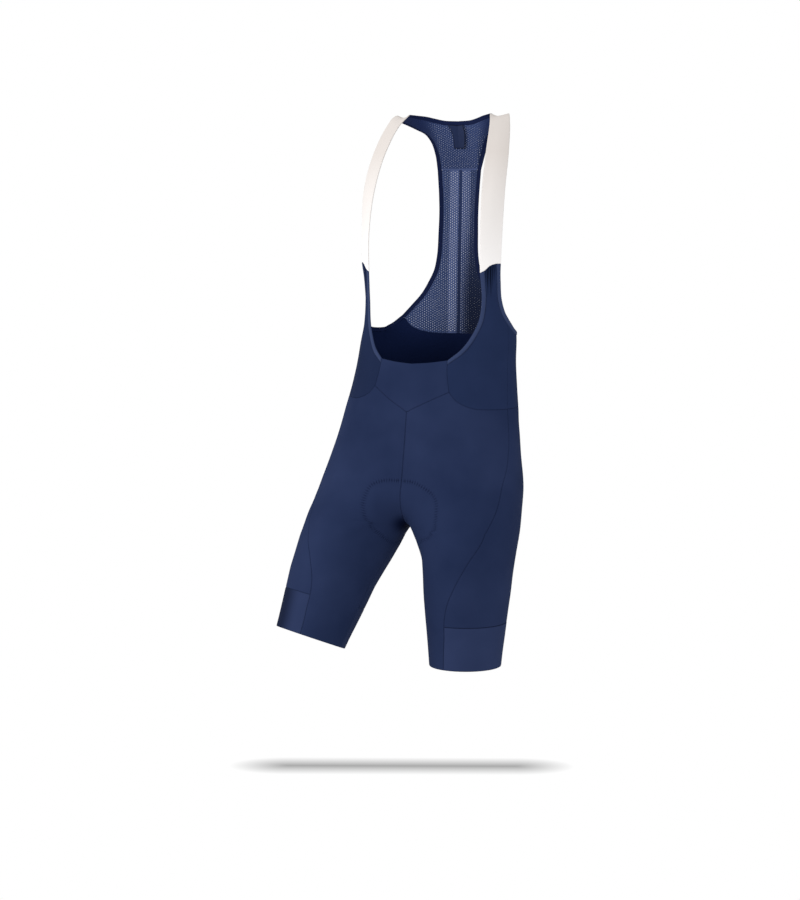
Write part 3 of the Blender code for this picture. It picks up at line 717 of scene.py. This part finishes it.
looks = {
    # elastane and polyamide warp knit: fine wales, drawn 1.1 mm apart to show, and a dry matt face
    "navyElastaneKnit": lookOf(
        "lycra_navy", "#1f2a48", "#283353", "#0d1732", "#010722",
        0.0011, 0.0013, 0.6, 0.11, 0.08, 0.8, 0.02, 0.0,
    ),
    # sides and lower back of the bib: the same yarn in a plain jersey
    "navyBrushedJersey": lookOf(
        "lycra_navy", "#212d4d", "#1f2b4a", "#101b3c", "#020616",
        0.0012, 0.0012, 0.9, 0.04, 0.08, 0.8, 0.03, 0.0,
    ),
    # folded elastic: ribs across it, lighter outside than on its inner face, which is painted shade
    "navyFoldedElastic": lookOf(
        "binding_navy", "#323e60", "#2f3b5c", "#0f1a3e", "#080f26",
        0.0022, 0.0012, 1.0, 0.03, 0.15, 0.75, 0.08, 0.0,
    ),
    # the cuffs' dense knit, a shade lighter
    "navyGripperKnit": lookOf(
        "gripper_navy", "#2c3758", "#293454", "#0f1936", "#040a1f",
        0.0009, 0.0018, 1.0, 0.05, 0.10, 0.8, 0.03, 0.0,
    ),
    # brushed foam laminate of the seat pad
    "navyFoamLaminate": lookOf(
        "pad_foam", "#10172c", "#0d1327", "#161f3a", "#040813",
        0.003, 0.003, 1.0, 0.02, 0.25, 0.85, 0.08, 0.1,
    ),
    # plain woven tape
    "navyWovenTape": lookOf(
        "label_navy", "#1a2543", "#18233f", "#1a2647", "#060c20",
        0.0008, 0.0008, 1.0, 0.02, 0.12, 0.6, 0.12, 0.0,
    ),
    # woven elastic: ribs of covered rubber 1.6 mm apart, a dry chalky face, lighter lower down by painted
    # light
    "whiteWovenElastic": lookOf(
        "strap_white", "#f8f5f4", "#dbd4cf", "#e6e1dd", "#b9b2ae",
        0.0016, 0.0012, 0.35, (-0.235, -0.06), 0.06, 0.8, 0.15, 0.0,
    ),
}
lycra, jersey, bindingCloth, gripper, foam, tape, elastic = (
    (knitMaterial(name, look)[0], look["slot"]) for name, look in looks.items()
)

# warp-knit polyester mesh, dyed navy, with rows of small holes
meshLook = lookOf(
    "mesh_navy", "#27314f", "#242e4b", "#36446a", "#0a1229", 0.0033, 0.0038, 0.8, 0.06, 0.25, 0.75, 0.08, 0.0
)
meshLook |= {
    "wall": 0.36,  # the knit's own thickness, in millimetres; the solid behind it has the full wall
    "border": 2.2,  # no holes this close to a seam
    "column": 0.0035, "row": 0.0040,  # hole spacing
    "dot": "#5a6996",  # painted sheen: the yarn is drawn lighter where it loops round a hole
    "dotReach": (0.0004, 0.0017, 0.9, 0.0),
    "holes": (0.00033, 0.00052),  # hole radii: outside the open stripes, and in them
    "yokeHoles": 0.88,  # how much smaller they are in the yoke
    "middle": 0.0010,  # where the two stripes part, from centre back towards the wearer's left
    "stripe": (0.0032, 0.0200),  # the open stripes lie this far from there
    "blur": (0.0005, 0.0030),
    "line": 0.7,  # how much closer the knit is between the stripes
    "lit": "#505e8a",
    "bandTop": 0.0026,
    "band": "#4a5780",
    "plain": "#1f2b52",  # the wings' tips have no holes and are darker
    "plainFrom": (0.072, 0.036),
    "yokeShare": 0.55,  # the yoke is darker than the strip below it
    "dusk": (0.002, 0.036, 0.0, 0.8),  # painted shade: the wrong side darkens towards the wearer's left
    "paintedShadeFall": (0.02, 0.22, 0.45, 1.15),  # and further down
    "paintedShadeShift": 0.015,
    "paintedShadeHoles": 0.75,  # how much smaller the holes are there
}


def meshKnitMaterial(name, look, striped):
    # rows of holes, every other column shifted by half a row; a hole is where the distance to its
    # centre is under the radius, which is larger in the open stripes
    material, tree, surface = knitMaterial(name, look)
    across, down = flatPlace(tree)
    base = surface.inputs["Base Color"].links[0].from_socket
    small, large = look["holes"]

    def calc(*step):
        # one step of arithmetic in this material
        return calculated(tree, *step)

    def offCentre(cell, size):
        # the square of the distance from the middle of a cell
        off = calc("MULTIPLY", calc("SUBTRACT", calc("FRACT", cell), 0.5), size)
        return calc("MULTIPLY", off, off)

    column = calc("DIVIDE", across, look["column"])
    shift = calc("MULTIPLY", calc("PINGPONG", calc("FLOOR", column), 1.0), 0.5)
    row = calc("ADD", calc("DIVIDE", down, look["row"]), shift)
    squares = offCentre(column, look["column"]), offCentre(row, look["row"])
    distance = calc("SQRT", calc("ADD", *squares))
    if striped:
        fromParting = calc("ABSOLUTE", calc("SUBTRACT", across, look["middle"]))
        (start, end), (sharp, soft) = look["stripe"], look["blur"]
        rise = ranged(tree, fromParting, start - sharp, start + sharp)
        stripe = calc("MULTIPLY", rise, ranged(tree, fromParting, end - soft, end, 1.0, 0.0))
        base = blended(tree, stripe, base, look["lit"])
        line = ranged(tree, fromParting, start - 2 * sharp, start, look["line"], 0.0)
        base = blended(tree, line, base, look["plain"])
        radius = calc("MULTIPLY_ADD", stripe, large - small, small)
        radius = calc("MULTIPLY", radius, calc("SUBTRACT", 1.0, line))
        # painted shade on the wrong side, towards the wearer's left and further down, with smaller holes
        # there
        low = ranged(tree, down, *look["paintedShadeFall"])
        beyond = calc("MULTIPLY_ADD", low, look["paintedShadeShift"], across)
        dusk = calc("MULTIPLY", low, markOf(tree, "inside"))
        dusk = calc("MULTIPLY", ranged(tree, beyond, *look["dusk"]), dusk)
        base = blended(tree, dusk, base, look["deep"])
        smaller = calc("MULTIPLY", dusk, look["paintedShadeHoles"])
        radius = calc("MULTIPLY", radius, calc("SUBTRACT", 1.0, smaller))
        edge = calc("LESS_THAN", down, 0.0)
    else:
        plainFrom, plainTo = look["plainFrom"]
        holed = ranged(tree, calc("ABSOLUTE", across), plainTo, plainFrom, 1.0, 0.0)
        radius = calc("MULTIPLY", holed, small * look["yokeHoles"])
        base = blended(tree, calc("MULTIPLY", holed, look["yokeShare"]), look["plain"], base)
        edge = calc("LESS_THAN", down, look["bandTop"])
        base = blended(tree, edge, base, look["band"])
    pierced = calc("MULTIPLY", calc("SUBTRACT", 1.0, edge), ranged(tree, radius, 0.0, large))
    # painted sheen: the yarn is drawn lighter round each hole
    loop = calc("MULTIPLY", ranged(tree, distance, *look["dotReach"]), pierced)
    tree.links.new(blended(tree, loop, base, look["dot"]), surface.inputs["Base Color"])
    closed = calc("MAXIMUM", edge, markOf(tree, "border"))
    solid = calc("MAXIMUM", calc("GREATER_THAN", distance, radius), closed)
    tree.links.new(solid, surface.inputs["Alpha"])
    return material, look["slot"]


meshYoke = meshKnitMaterial("navyMeshKnit", meshLook, striped=False)
meshStriped = meshKnitMaterial("navyMeshKnitStriped", meshLook, striped=True)
print("materials ready")

# Front yoke: the low panel under the scoop, with a shallow V at its foot
yokeSize = {"across": (72, 2.6), "down": (75, 2.6), "part": slice(4, None)}  # lengths and cells


def makeYoke(side):
    # a patch between the scoop, the V, the centre front and the side seam
    own = lines[side]
    centre = np.linspace(own["yokeTop"][0], own["yokeFoot"][0], dense)
    return clothOn(patch(own["yokeTop"], own["yokeFoot"], centre, own["yokeSide"], yokeSize), side)


sew("frontYoke", lycra, bothHalves(makeYoke), ["sidePanelLeft", "sidePanelRight"])

# Side panels: from the strap seam to the waist, gathered under the strap
# gathers: where they set in, and how much painted shade their troughs take; the last entry is the painted
# shade on the right panel: how dark, and the drop below the strap seam past which it sets in
sideSize = {"across": (90, 1.5), "down": (225, 2.2), "dusk": (0.24, 70), "gathers": (2.5, 0.55)}
bibSeams = {"rounding": 0.25, "seamPull": 0.1}  # flat seams, little drawn in
pleats = tableOf(
    "share depth length width", (0.09, 1.6, 26, 0.030), (0.24, 2.4, 46, 0.034), (0.37, 2.0, 34, 0.030),
    (0.52, 2.6, 52, 0.036), (0.66, 2.1, 40, 0.032), (0.80, 1.9, 30, 0.030), (0.92, 1.2, 20, 0.028),
)


def gathers(across, drop, start):
    # each pleat is a narrow trough that sets in under the seam and shallows to nothing over its length
    total = np.zeros(drop.shape)
    for share, depth, length, width in zip(*pleats.values()):
        fade = np.clip(1 - drop / length, 0, 1) * smoothStep(drop / start)
        total -= depth * fade * np.exp(-((across[None] - share) / (width * (1 + drop / length))) ** 2)
    return total


def makeSidePanel(side):
    # a patch between the strap seam, the waist and the edges, with painted shade in the gathers; the right
    # one has painted shade further down
    own = lines[side]
    top = sampled(own["frontStrap"], np.linspace(bindShare, 1 - bindShare, dense))
    left = joined(own["neckInner"], sampled(own["yokeSide"], np.linspace(cut["yokeStart"], 1, dense)))
    flat = patch(top, own["frontWaist"], left, joined(own["armFront"], own["sideSeam"]), sideSize)
    places, relief, shade = clothOn(flat, side)
    drop = np.linalg.norm(places - places[:1], axis=-1)
    (start, dim), (dark, far) = sideSize["gathers"], sideSize["dusk"]
    folds = gathers(sharesOf(sideSize)[0], drop, start)
    shade = np.maximum(shade, dark * smoothStep((drop - far) / far) * (side < 0))
    return places, relief + folds, np.maximum(shade, np.clip(-dim * folds, 0, 0.9))


for side, word in sides:
    sew("sidePanel" + word, jersey, makeSidePanel(side), ["strap" + word], side, seamShade=0.1, **bibSeams)
print("front of the bib ready")

# Lower back and the mesh above it
toMiddle = slice(None, -5)
backSize = {"across": (250, 3.0), "down": (110, 3.0), "part": toMiddle}
meshSize = {"across": (70, 2.2), "down": (262, 2.6), "part": toMiddle, "creased": 0.4}
meshWay = {"wall": meshLook["wall"], "border": meshLook["border"]}


def makeLowerBack(side):
    # a patch between the armhole's foot and the mesh seam, the waist, the side seam and centre back
    own = lines[side]
    centre = np.linspace(own["meshSeam"][-1], own["backWaist"][-1], dense)
    top = joined(own["armFoot"], own["meshSeam"])
    return clothOn(patch(top, own["backWaist"], own["sideSeam"], centre, backSize), side)


rests = ["sidePanelLeft", "sidePanelRight", "meshBack"]
sew("lowerBack", jersey, bothHalves(makeLowerBack, front=False), rests, seamShade=0.0, **bibSeams)


def makeMeshBack(side):
    # the flat place is the run from centre back and the height below the yoke seam
    own = lines[side]
    edge = own["armBack"][::-1]
    middle = np.array([100, cut["yokeSeam"]])
    seam, centre = np.linspace(edge[0], middle, dense), np.linspace(middle, own["meshSeam"][-1], dense)
    flat = patch(seam, own["meshSeam"], edge, centre, meshSize)
    relief = meshSize["creased"] * creased(flat, side)
    fromMiddle = side * (100 - flat[..., 0]) / 100 * girth(flat[..., 1])
    return onFigure(flat, side), relief, 0 * relief, fromMiddle, cut["yokeSeam"] - flat[..., 1]


cloth = bothHalves(makeMeshBack, front=False)
sew("meshBack", meshStriped, cloth, ["meshYoke"], node="back_mesh_lower", **meshWay)

# Mesh yoke: the upper back and its two wings, on the neutral half of the figure
upperSize = {
    "across": (95, 2.2),
    "down": (80, 2.2),
    "part": toMiddle,
    "turnPoint": 0.57,  # the share of the width at which the wing ends and the yoke seam begins
    "wider": 1.1,  # the flat width for one of x
    "bend": (0.8, 88),  # the flat height added for one of y, forward of this y
}


def wingLines(side):
    # the neck edge, the wing's edge and the strap seam of the upper back, with the inner lines
    rimEnd = unposed(onFigure(lines[side]["armRim"][-1:], side), side)[0]
    yoke = unposed(makeMeshBack(side)[0][0], side)
    wing, neck = lineOf(withRow(cut["wing"], rimEnd, atEnd=True)), lineOf(cut["backNeck"])
    strapSeam = np.linspace(neck[0], wing[0], dense)
    seamStart, seamEnd = sampled(strapSeam, [bindShare, 1 - bindShare])
    share = np.linspace(0, 1, dense)
    neckInner = beside(neck, sampled(np.concatenate([wing, yoke]), share), cut["binding"])
    neckInner = pinned(neckInner, seamStart, (0, *neckInner[-1, 1:]))
    facing = sampled(neck, share * upperSize["turnPoint"])
    wingInner = beside(wing, facing + share[:, None] * (yoke[-1] - facing), cut["binding"])
    wingInner = pinned(wingInner, seamEnd, yoke[0])
    own = {"neck": neck, "neckInner": neckInner, "wing": wing, "wingInner": wingInner}
    return {**own, "strapSeam": strapSeam, "yoke": yoke}


upper = {side: wingLines(side) for side in (1, -1)}


def upperBackPatch(side, across, down):
    # a Coons patch whose foot is the wing's edge and then the yoke seam
    own, turnPoint = upper[side], upperSize["turnPoint"]
    foot = np.where(
        (across < turnPoint)[:, None],
        sampled(own["wingInner"], np.clip(across / turnPoint, 0, 1)),
        sampled(own["yoke"], np.clip((across - turnPoint) / (1 - turnPoint), 0, 1)),
    )
    left = sampled(own["strapSeam"], bindShare + (1 - 2 * bindShare) * down)
    right = own["neckInner"][-1] + (own["yoke"][-1] - own["neckInner"][-1]) * down[:, None]
    return reposed(coons(sampled(own["neckInner"], across), foot, left, right, across, down), side)


def makeMeshYoke(side):
    # the flat place: the neutral x made wider, and the height over the seam with the bend added
    places = upperBackPatch(side, *sharesOf(upperSize))
    x = places[..., 0] - along(figure["sway"], places[..., 2])
    share, bendFrom = upperSize["bend"]
    bend = share * np.maximum(bendFrom - figure["strapCrest"] - places[..., 1], 0)
    return *bare(places), upperSize["wider"] * x, places[..., 2] - cut["yokeSeam"] + bend


cloth = bothHalves(makeMeshYoke, front=False)
sew("meshYoke", meshYoke, cloth, ["strapLeft", "strapRight"], node="back_mesh_upper", **meshWay)

# Neck label: a small tab inside the yoke
labelSize = {
    "faces": (-0.95, -1.75),  # how far its two faces are from the middle of the mesh
    "length": 0.51,  # share of the yoke's height at centre back
    "rows": (26, 80),  # its own, and those of the yoke that it is read from
    "near": (0.5, 1, 60),  # the part of the yoke's width, and its columns
    "across": (20, 1.6),
    "half": tableOf("down left right", (0, 10.5, 17), (0.35, 13.5, 10.5), (0.6, 13.5, 8.5), (1, 12, 7.5)),
}


def makeLabel(side):
    # the yoke's own points, as far from centre back as the label is wide; its rows turn from the
    # neck's curve to a level line at the foot
    near = np.linspace(*labelSize["near"])
    share, whole = (np.linspace(0, 1, count) for count in labelSize["rows"])
    deep = upperBackPatch(side, near, whole)[:, ::-1]
    surface = upperBackPatch(side, near, share * labelSize["length"])[:, ::-1]
    level = (1 - share[:, None]) * surface[..., 2] + share[:, None] * surface[:, :1, 2]
    for k, column in enumerate(deep.transpose(1, 2, 0)):
        surface[:, k] = np.stack([np.interp(-level[:, k], -column[2], axis) for axis in column], axis=-1)
    half = along(labelSize["half"], share, "left" if side > 0 else "right")
    across = spread(*labelSize["across"])[::-1]
    rows = [
        [np.interp(width * across, run, axis) for axis in points.T]
        for points, run, width in zip(surface, runOf(surface, axis=1), half)
    ]
    return bare(np.array(rows).transpose(0, 2, 1))


sew(
    "neckLabel", tape, bothHalves(makeLabel, front=False), ["meshYoke"], wall=labelSize["faces"],
    stretch=(1.0, 1.0), held="laid", seamPull=0.0, seamShade=1.0,
)
print("back of the bib ready")

# Bindings: folded elastic with a low crown across
bindingSize = {
    "wall": 1.8, "columns": 9, "crown": 0.5,
    "rows": (90, 330, 80, 70),  # along the neckline, the armhole, the wing and the back neck
}
neckRows, armRows, wingRows, backRows = bindingSize["rows"]
acrossBinding = np.linspace(0, 1, bindingSize["columns"])
crown = bindingSize["crown"] * (1 - (2 * acrossBinding - 1) ** 2)  # a parabola
bindingWay = {"wall": bindingSize["wall"], "stretch": (1.0, 1.1), "layers": (2, 1), "seamPull": 0.1}


def strip(first, second, rows):
    # a grid between two lines, one row for each share of their length
    shares = np.linspace(0, 1, rows)
    start, end = sampled(first, shares), sampled(second, shares)
    return start[:, None] + (end - start)[:, None] * acrossBinding[None, :, None]


for side, word in sides:
    own, back, rests = lines[side], upper[side], ["sidePanel" + word]
    grid = onFigure(strip(own["neckline"], own["neckInner"], neckRows), side)
    sew("necklineBinding" + word, bindingCloth, bare(grid, crown), rests, side, **bindingWay)
    grid = onFigure(strip(own["armInner"], own["armRim"], armRows), side)
    wing = reposed(strip(back["wingInner"][::-1], back["wing"][::-1], wingRows), side)
    cloth = bare(joined(grid, wing), crown)
    rests += ["lowerBack", "meshBack", "meshYoke"]
    sew("armholeBinding" + word, bindingCloth, cloth, rests, side, **bindingWay)


def makeBackNeckBinding(side):
    # its columns follow the neck
    grid = reposed(strip(upper[side]["neck"], upper[side]["neckInner"], backRows), side)
    return bare(grid.transpose(1, 0, 2), crown[:, None])


bindingWay |= {"stretch": (1.1, 1.0), "layers": (1, 2)}
sew("backNeckBinding", bindingCloth, bothHalves(makeBackNeckBinding, front=False), ["meshYoke"], **bindingWay)

# Straps: flat woven elastic, a little thicker in the middle than at its selvedges
strapSize = {"wall": 1.6, "crown": 0.25, "across": (33, 1.6), "down": (290, 2.2)}


def makeStrap(side):
    # a patch from the back strap seam over the shoulder to the front one
    front = unposed(onFigure(lines[side]["frontStrap"], side), side)
    inner = lineOf(withRow(cut["strapInner"], front[0], atEnd=True))
    outer = lineOf(withRow(cut["strapOuter"], front[-1], atEnd=True))
    grid = reposed(patch(upper[side]["strapSeam"], front, inner, outer, strapSize), side)
    return bare(grid, strapSize["crown"] * (1 - np.linspace(-1, 1, grid.shape[1]) ** 4))


for side, word in sides:
    way = {"wall": strapSize["wall"], "stretch": (1.0, 1.12), "seamPull": 0.1}
    sew("strap" + word, elastic, makeStrap(side), side=side, **way)
print("straps and bindings ready")

# Legs: front panel, side and back panel
legSize = {"cell": 3.0, "padCell": 0.9, "trunk": 200, "padFrom": 104, "padTo": 66}
frontLeg = {"waist": ("yokeFoot", "frontWaist"), "width": 205, "fine": 0.32, "middle": 0, "seam": -1}
backLeg = {"waist": ("backWaist",), "width": 270, "fine": 0.26, "middle": 100, "seam": 0}


def legColumns(panel):
    # shares across a panel: close columns at both edges, fine ones by the pad, even ones between
    width, cell = panel["width"], legSize["cell"]
    fine = np.arange(edgeRun[3] / width, panel["fine"], legSize["padCell"] / width)
    ends = [np.concatenate([edgeRun[:3] / width, fine]), edgeRun / width]
    first, last = ends if panel is frontLeg else ends[::-1]
    even = np.arange(first[-1] + cell / width, 1 - last[-1], cell / width)
    return np.concatenate([first, even, 1 - last[::-1]])


def rowLevels(panel):
    # shares of the way from the waist to the crotch, then the levels below; close together by the pad
    cell, padCell = legSize["cell"], legSize["padCell"]
    fineFrom, fineTo, foot = legSize["padFrom"], crotch - legSize["padTo"], cut["cuffTop"]
    trunk = [edgeRun, np.arange(6, fineFrom, cell), np.arange(fineFrom, legSize["trunk"], padCell)]
    below = [np.arange(crotch, fineTo, -padCell), np.arange(fineTo, foot + 4, -cell)]
    if panel is frontLeg:
        below.append(np.arange(foot, cut["hem"] + 5, -cell))
        foot = cut["hem"]
    return np.concatenate(trunk) / legSize["trunk"], np.concatenate([*below, foot + edgeRun[::-1]])


def makeLegPanel(panel, side):
    # every column runs from the waist line to the crotch's level, then straight down, at its own
    # share of the way from the middle to the thigh seam
    start = sampled(joined(*(lines[side][name] for name in panel["waist"])), legColumns(panel))
    trunk, below = rowLevels(panel)
    heights = start[None, :, 1] + (crotch - start[None, :, 1]) * trunk[:, None]
    heights = np.concatenate([heights, np.repeat(below[:, None], len(start), axis=1)])
    middle, edge = panel["middle"], panel["seam"]
    seam = along(cut["thighSeam"], heights[:, [edge]])
    seam[0] = start[edge, 0]
    around = middle + (start[:, 0] - middle) / (start[edge, 0] - middle) * (seam - middle)
    return clothOn(np.stack([around, heights], axis=-1), side)


# Cuffs: the gripper knit behind the thigh seam, with painted shade at the right one's side and back
cuffSize = {
    "wall": 1.5,
    "across": (260, 3.0),
    "down": (70, 2.4),
    "dusk": (0.7, 26, 9, 66, 20),  # painted shade: how dark, between which places and how softly
    # painted shade towards the back of the right cuff: how dark, from where and how softly
    "dim": (0.25, 76, 8),
}


def makeCuff(side):
    # rows between the cuff's seam and the hem, columns from the thigh seam to the inseam
    columns, down = sharesOf(cuffSize)
    heights = cut["cuffTop"] + (cut["hem"] - cut["cuffTop"]) * down[:, None] + 0 * columns
    around = along(cut["thighSeam"], heights)
    around += columns[None] * (100 - around)
    places, relief, shade = clothOn(np.stack([around, heights], axis=-1), side)
    dark, start, startWidth, end, endWidth = cuffSize["dusk"]
    dusk = dark * smoothStep((around - start) / startWidth) * smoothStep((end - around) / endWidth)
    dark, start, startWidth = cuffSize["dim"]
    dusk += dark * smoothStep((around - start) / startWidth)
    return places, relief, np.maximum(shade, dusk * (side < 0))


for side, word in sides:
    way = {"side": side, "stretch": (1.2, 1.05)}
    sew("legFront" + word, lycra, makeLegPanel(frontLeg, side), ["frontYoke", "sidePanel" + word], **way)
    sew("legBack" + word, lycra, makeLegPanel(backLeg, side), ["lowerBack", "legFront" + word], **way)
    way |= {"stretch": (1.2, 1.0), "wall": cuffSize["wall"], "seamShade": 0.5 + 0.3 * side}
    sew("cuff" + word, gripper, makeCuff(side), ["legBack" + word], **way)
print("legs ready")

# Seat pad: a foam saddle inside, thick in the middle, with three channels
padSize = {
    "clearance": 3.2, "core": 4.5, "edge": 1.2, "rings": 34, "spokes": 120,
    "channel": (1.6, 22, 3.5, 0.25),  # depth, place of the outer two, width, and where they run out
}


def makePad(side):
    # spokes turn from front to back; thickness falls with the square of the ring, less the channels
    turn = np.linspace(0, 360, padSize["spokes"] + 1)
    ring = np.linspace(0, 1, padSize["rings"])[:, None]
    reach = along(padRim, turn) * ring
    height = crotch + reach * np.cos(np.radians(turn))
    off = reach * np.abs(np.sin(np.radians(turn)))
    around = np.where(turn <= 180, off / girth(height), 1 - off / girth(height)) * 100
    depth, place, width, end = padSize["channel"]
    channel = np.exp(-(((off - place) / width) ** 2)) + np.exp(-((off / width) ** 2))
    thick = padSize["edge"] + padSize["core"] * (1 - ring**2) - depth * channel * smoothStep((1 - ring) / end)
    return onFigure(np.stack([around, height], axis=-1), side)[::-1], thick[::-1]


pairs = zip(makePad(1), makePad(-1))
grid, thick = (np.concatenate([left, right[:, -2:0:-1]], axis=1) for left, right in pairs)
normal = gridNormals(np.concatenate([grid[:, -1:], grid, grid[:, :1]], axis=1), 1)[:, 1:-1]
normal[-1] = unit(normal[-2].mean(axis=0))
faces = [grid - normal * padSize["clearance"], grid - normal * (padSize["clearance"] + thick)[..., None]]
index = np.arange(thick.size).reshape(thick.shape)
index = np.concatenate([index, index[:, :1]], axis=1)
pad = meshObject("seatPad", faces, closedFaces(index, index[0]), [grid[..., 0], grid[..., 1]], foam[0], {})
tidied = bmesh.new()
tidied.from_mesh(pad.data)
bmesh.ops.remove_doubles(tidied, verts=tidied.verts, dist=0.00002)  # the points at its middle
tidied.to_mesh(pad.data)
tidied.free()
declare(pad, "chamois_pad")
print("seat pad ready")

# The stage: a pale floor well under the garment, which hangs in the air, and a soft shadow painted
# into the floor's glow, whose dark line fades with the distance from it
stage = {
    "floor": -1.048,
    "half": 15.0,
    "shadow": (-0.0459, -0.0830),
    "turn": 27.0,
    "core": 0.184,  # half the length of the shadow's dark line
    "fade": (0.095, 0.060),  # how far it fades, along and across
    "dark": 0.40,
}
floorMesh = bpy.data.meshes.new("floor")
half = stage["half"]
corners = [(x, y, stage["floor"]) for x, y in ((-half, -half), (half, -half), (half, half), (-half, half))]
floorMesh.from_pydata(corners, [], [(0, 1, 2, 3)])
floor = newObject("floor", floorMesh)
floor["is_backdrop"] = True
floorPaint = bpy.data.materials.new("paleFloorPaintedShadow")
floorPaint.use_nodes = True
tree = floorPaint.node_tree
tree.nodes.clear()
place = addNode(tree, "ShaderNodeTexCoord").outputs["Object"]
moved = {"Vector": place, "Location": (-stage["shadow"][0], -stage["shadow"][1], 0.0)}
turned = {
    "Vector": addNode(tree, "ShaderNodeMapping", moved).outputs[0],
    "Rotation": (0, 0, -math.radians(stage["turn"])),
    "Scale": (1, 1, 0),
}
flatAxes = addNode(tree, "ShaderNodeSeparateXYZ", {0: addNode(tree, "ShaderNodeMapping", turned).outputs[0]})
past = calculated(tree, "SUBTRACT", calculated(tree, "ABSOLUTE", flatAxes.outputs["X"]), stage["core"])
past = calculated(tree, "DIVIDE", calculated(tree, "MAXIMUM", past, 0.0), stage["fade"][0])
aside = calculated(tree, "DIVIDE", flatAxes.outputs["Y"], stage["fade"][1])
away = addNode(tree, "ShaderNodeCombineXYZ", {"X": past, "Y": aside}).outputs[0]
distance = addNode(tree, "ShaderNodeVectorMath", {0: away}, operation="LENGTH").outputs["Value"]
# painted shadow: the floor glows less near the shadow's dark line
paintedShadowGlow = {"Strength": ranged(tree, distance, 0.0, 1.0, stage["dark"], course="LINEAR")}
addNode(tree, "ShaderNodeOutputMaterial", {"Surface": addNode(tree, "ShaderNodeEmission", paintedShadowGlow).outputs[0]})
floorMesh.materials.append(floorPaint)
floor.visible_diffuse = False
floor.visible_glossy = False

# Studio light: a white surround, dimmer for the cloth than it looks, and two soft lamps
world = bpy.data.worlds.new("studio")
bpy.context.scene.world = world
world.use_nodes = True
tree = world.node_tree
tree.nodes.clear()
seen, lit = (
    addNode(tree, "ShaderNodeBackground", {"Color": (1, 1, 1, 1), "Strength": strength}).outputs[0]
    for strength in (1.0, 0.66)  # as it is seen, and as it lights the cloth
)
direct = addNode(tree, "ShaderNodeLightPath").outputs["Is Camera Ray"]
mixed = addNode(tree, "ShaderNodeMixShader", {0: direct, 1: lit, 2: seen})
addNode(tree, "ShaderNodeOutputWorld", {"Surface": mixed.outputs[0]})


def setUp(thing, place, aim):
    # puts a lamp or the camera at its place and turns it to its aim
    thing.location = place
    thing.rotation_euler = (Vector(aim) - Vector(place)).to_track_quat("-Z", "Y").to_euler()


lamps = {
    # name: place, aimed at, size, watts
    "keyLamp": ((-2.1, -1.8, 0.6), (0, -0.05, -0.45), 1.4, 44),
    "fillLamp": ((2.4, -2.4, 0.0), (0, -0.05, -0.5), 1.6, 34),
}
for name, (place, aim, size, watts) in lamps.items():
    data = bpy.data.lights.new(name, "AREA")
    data.size, data.energy = size, watts
    setUp(newObject(name, data), place, aim)

eye = {"place": (1.725, -3.446, -0.147), "aim": (-0.048, -0.0845, -0.5335), "lens": 95.6}
cameraData = bpy.data.cameras.new("camera")
cameraData.lens = eye["lens"]
camera = newObject("camera", cameraData)
setUp(camera, eye["place"], eye["aim"])
bpy.context.scene.camera = camera
bpy.context.scene.view_settings.view_transform = "Standard"

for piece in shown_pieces():
    print(piece.name, len(piece.data.polygons))
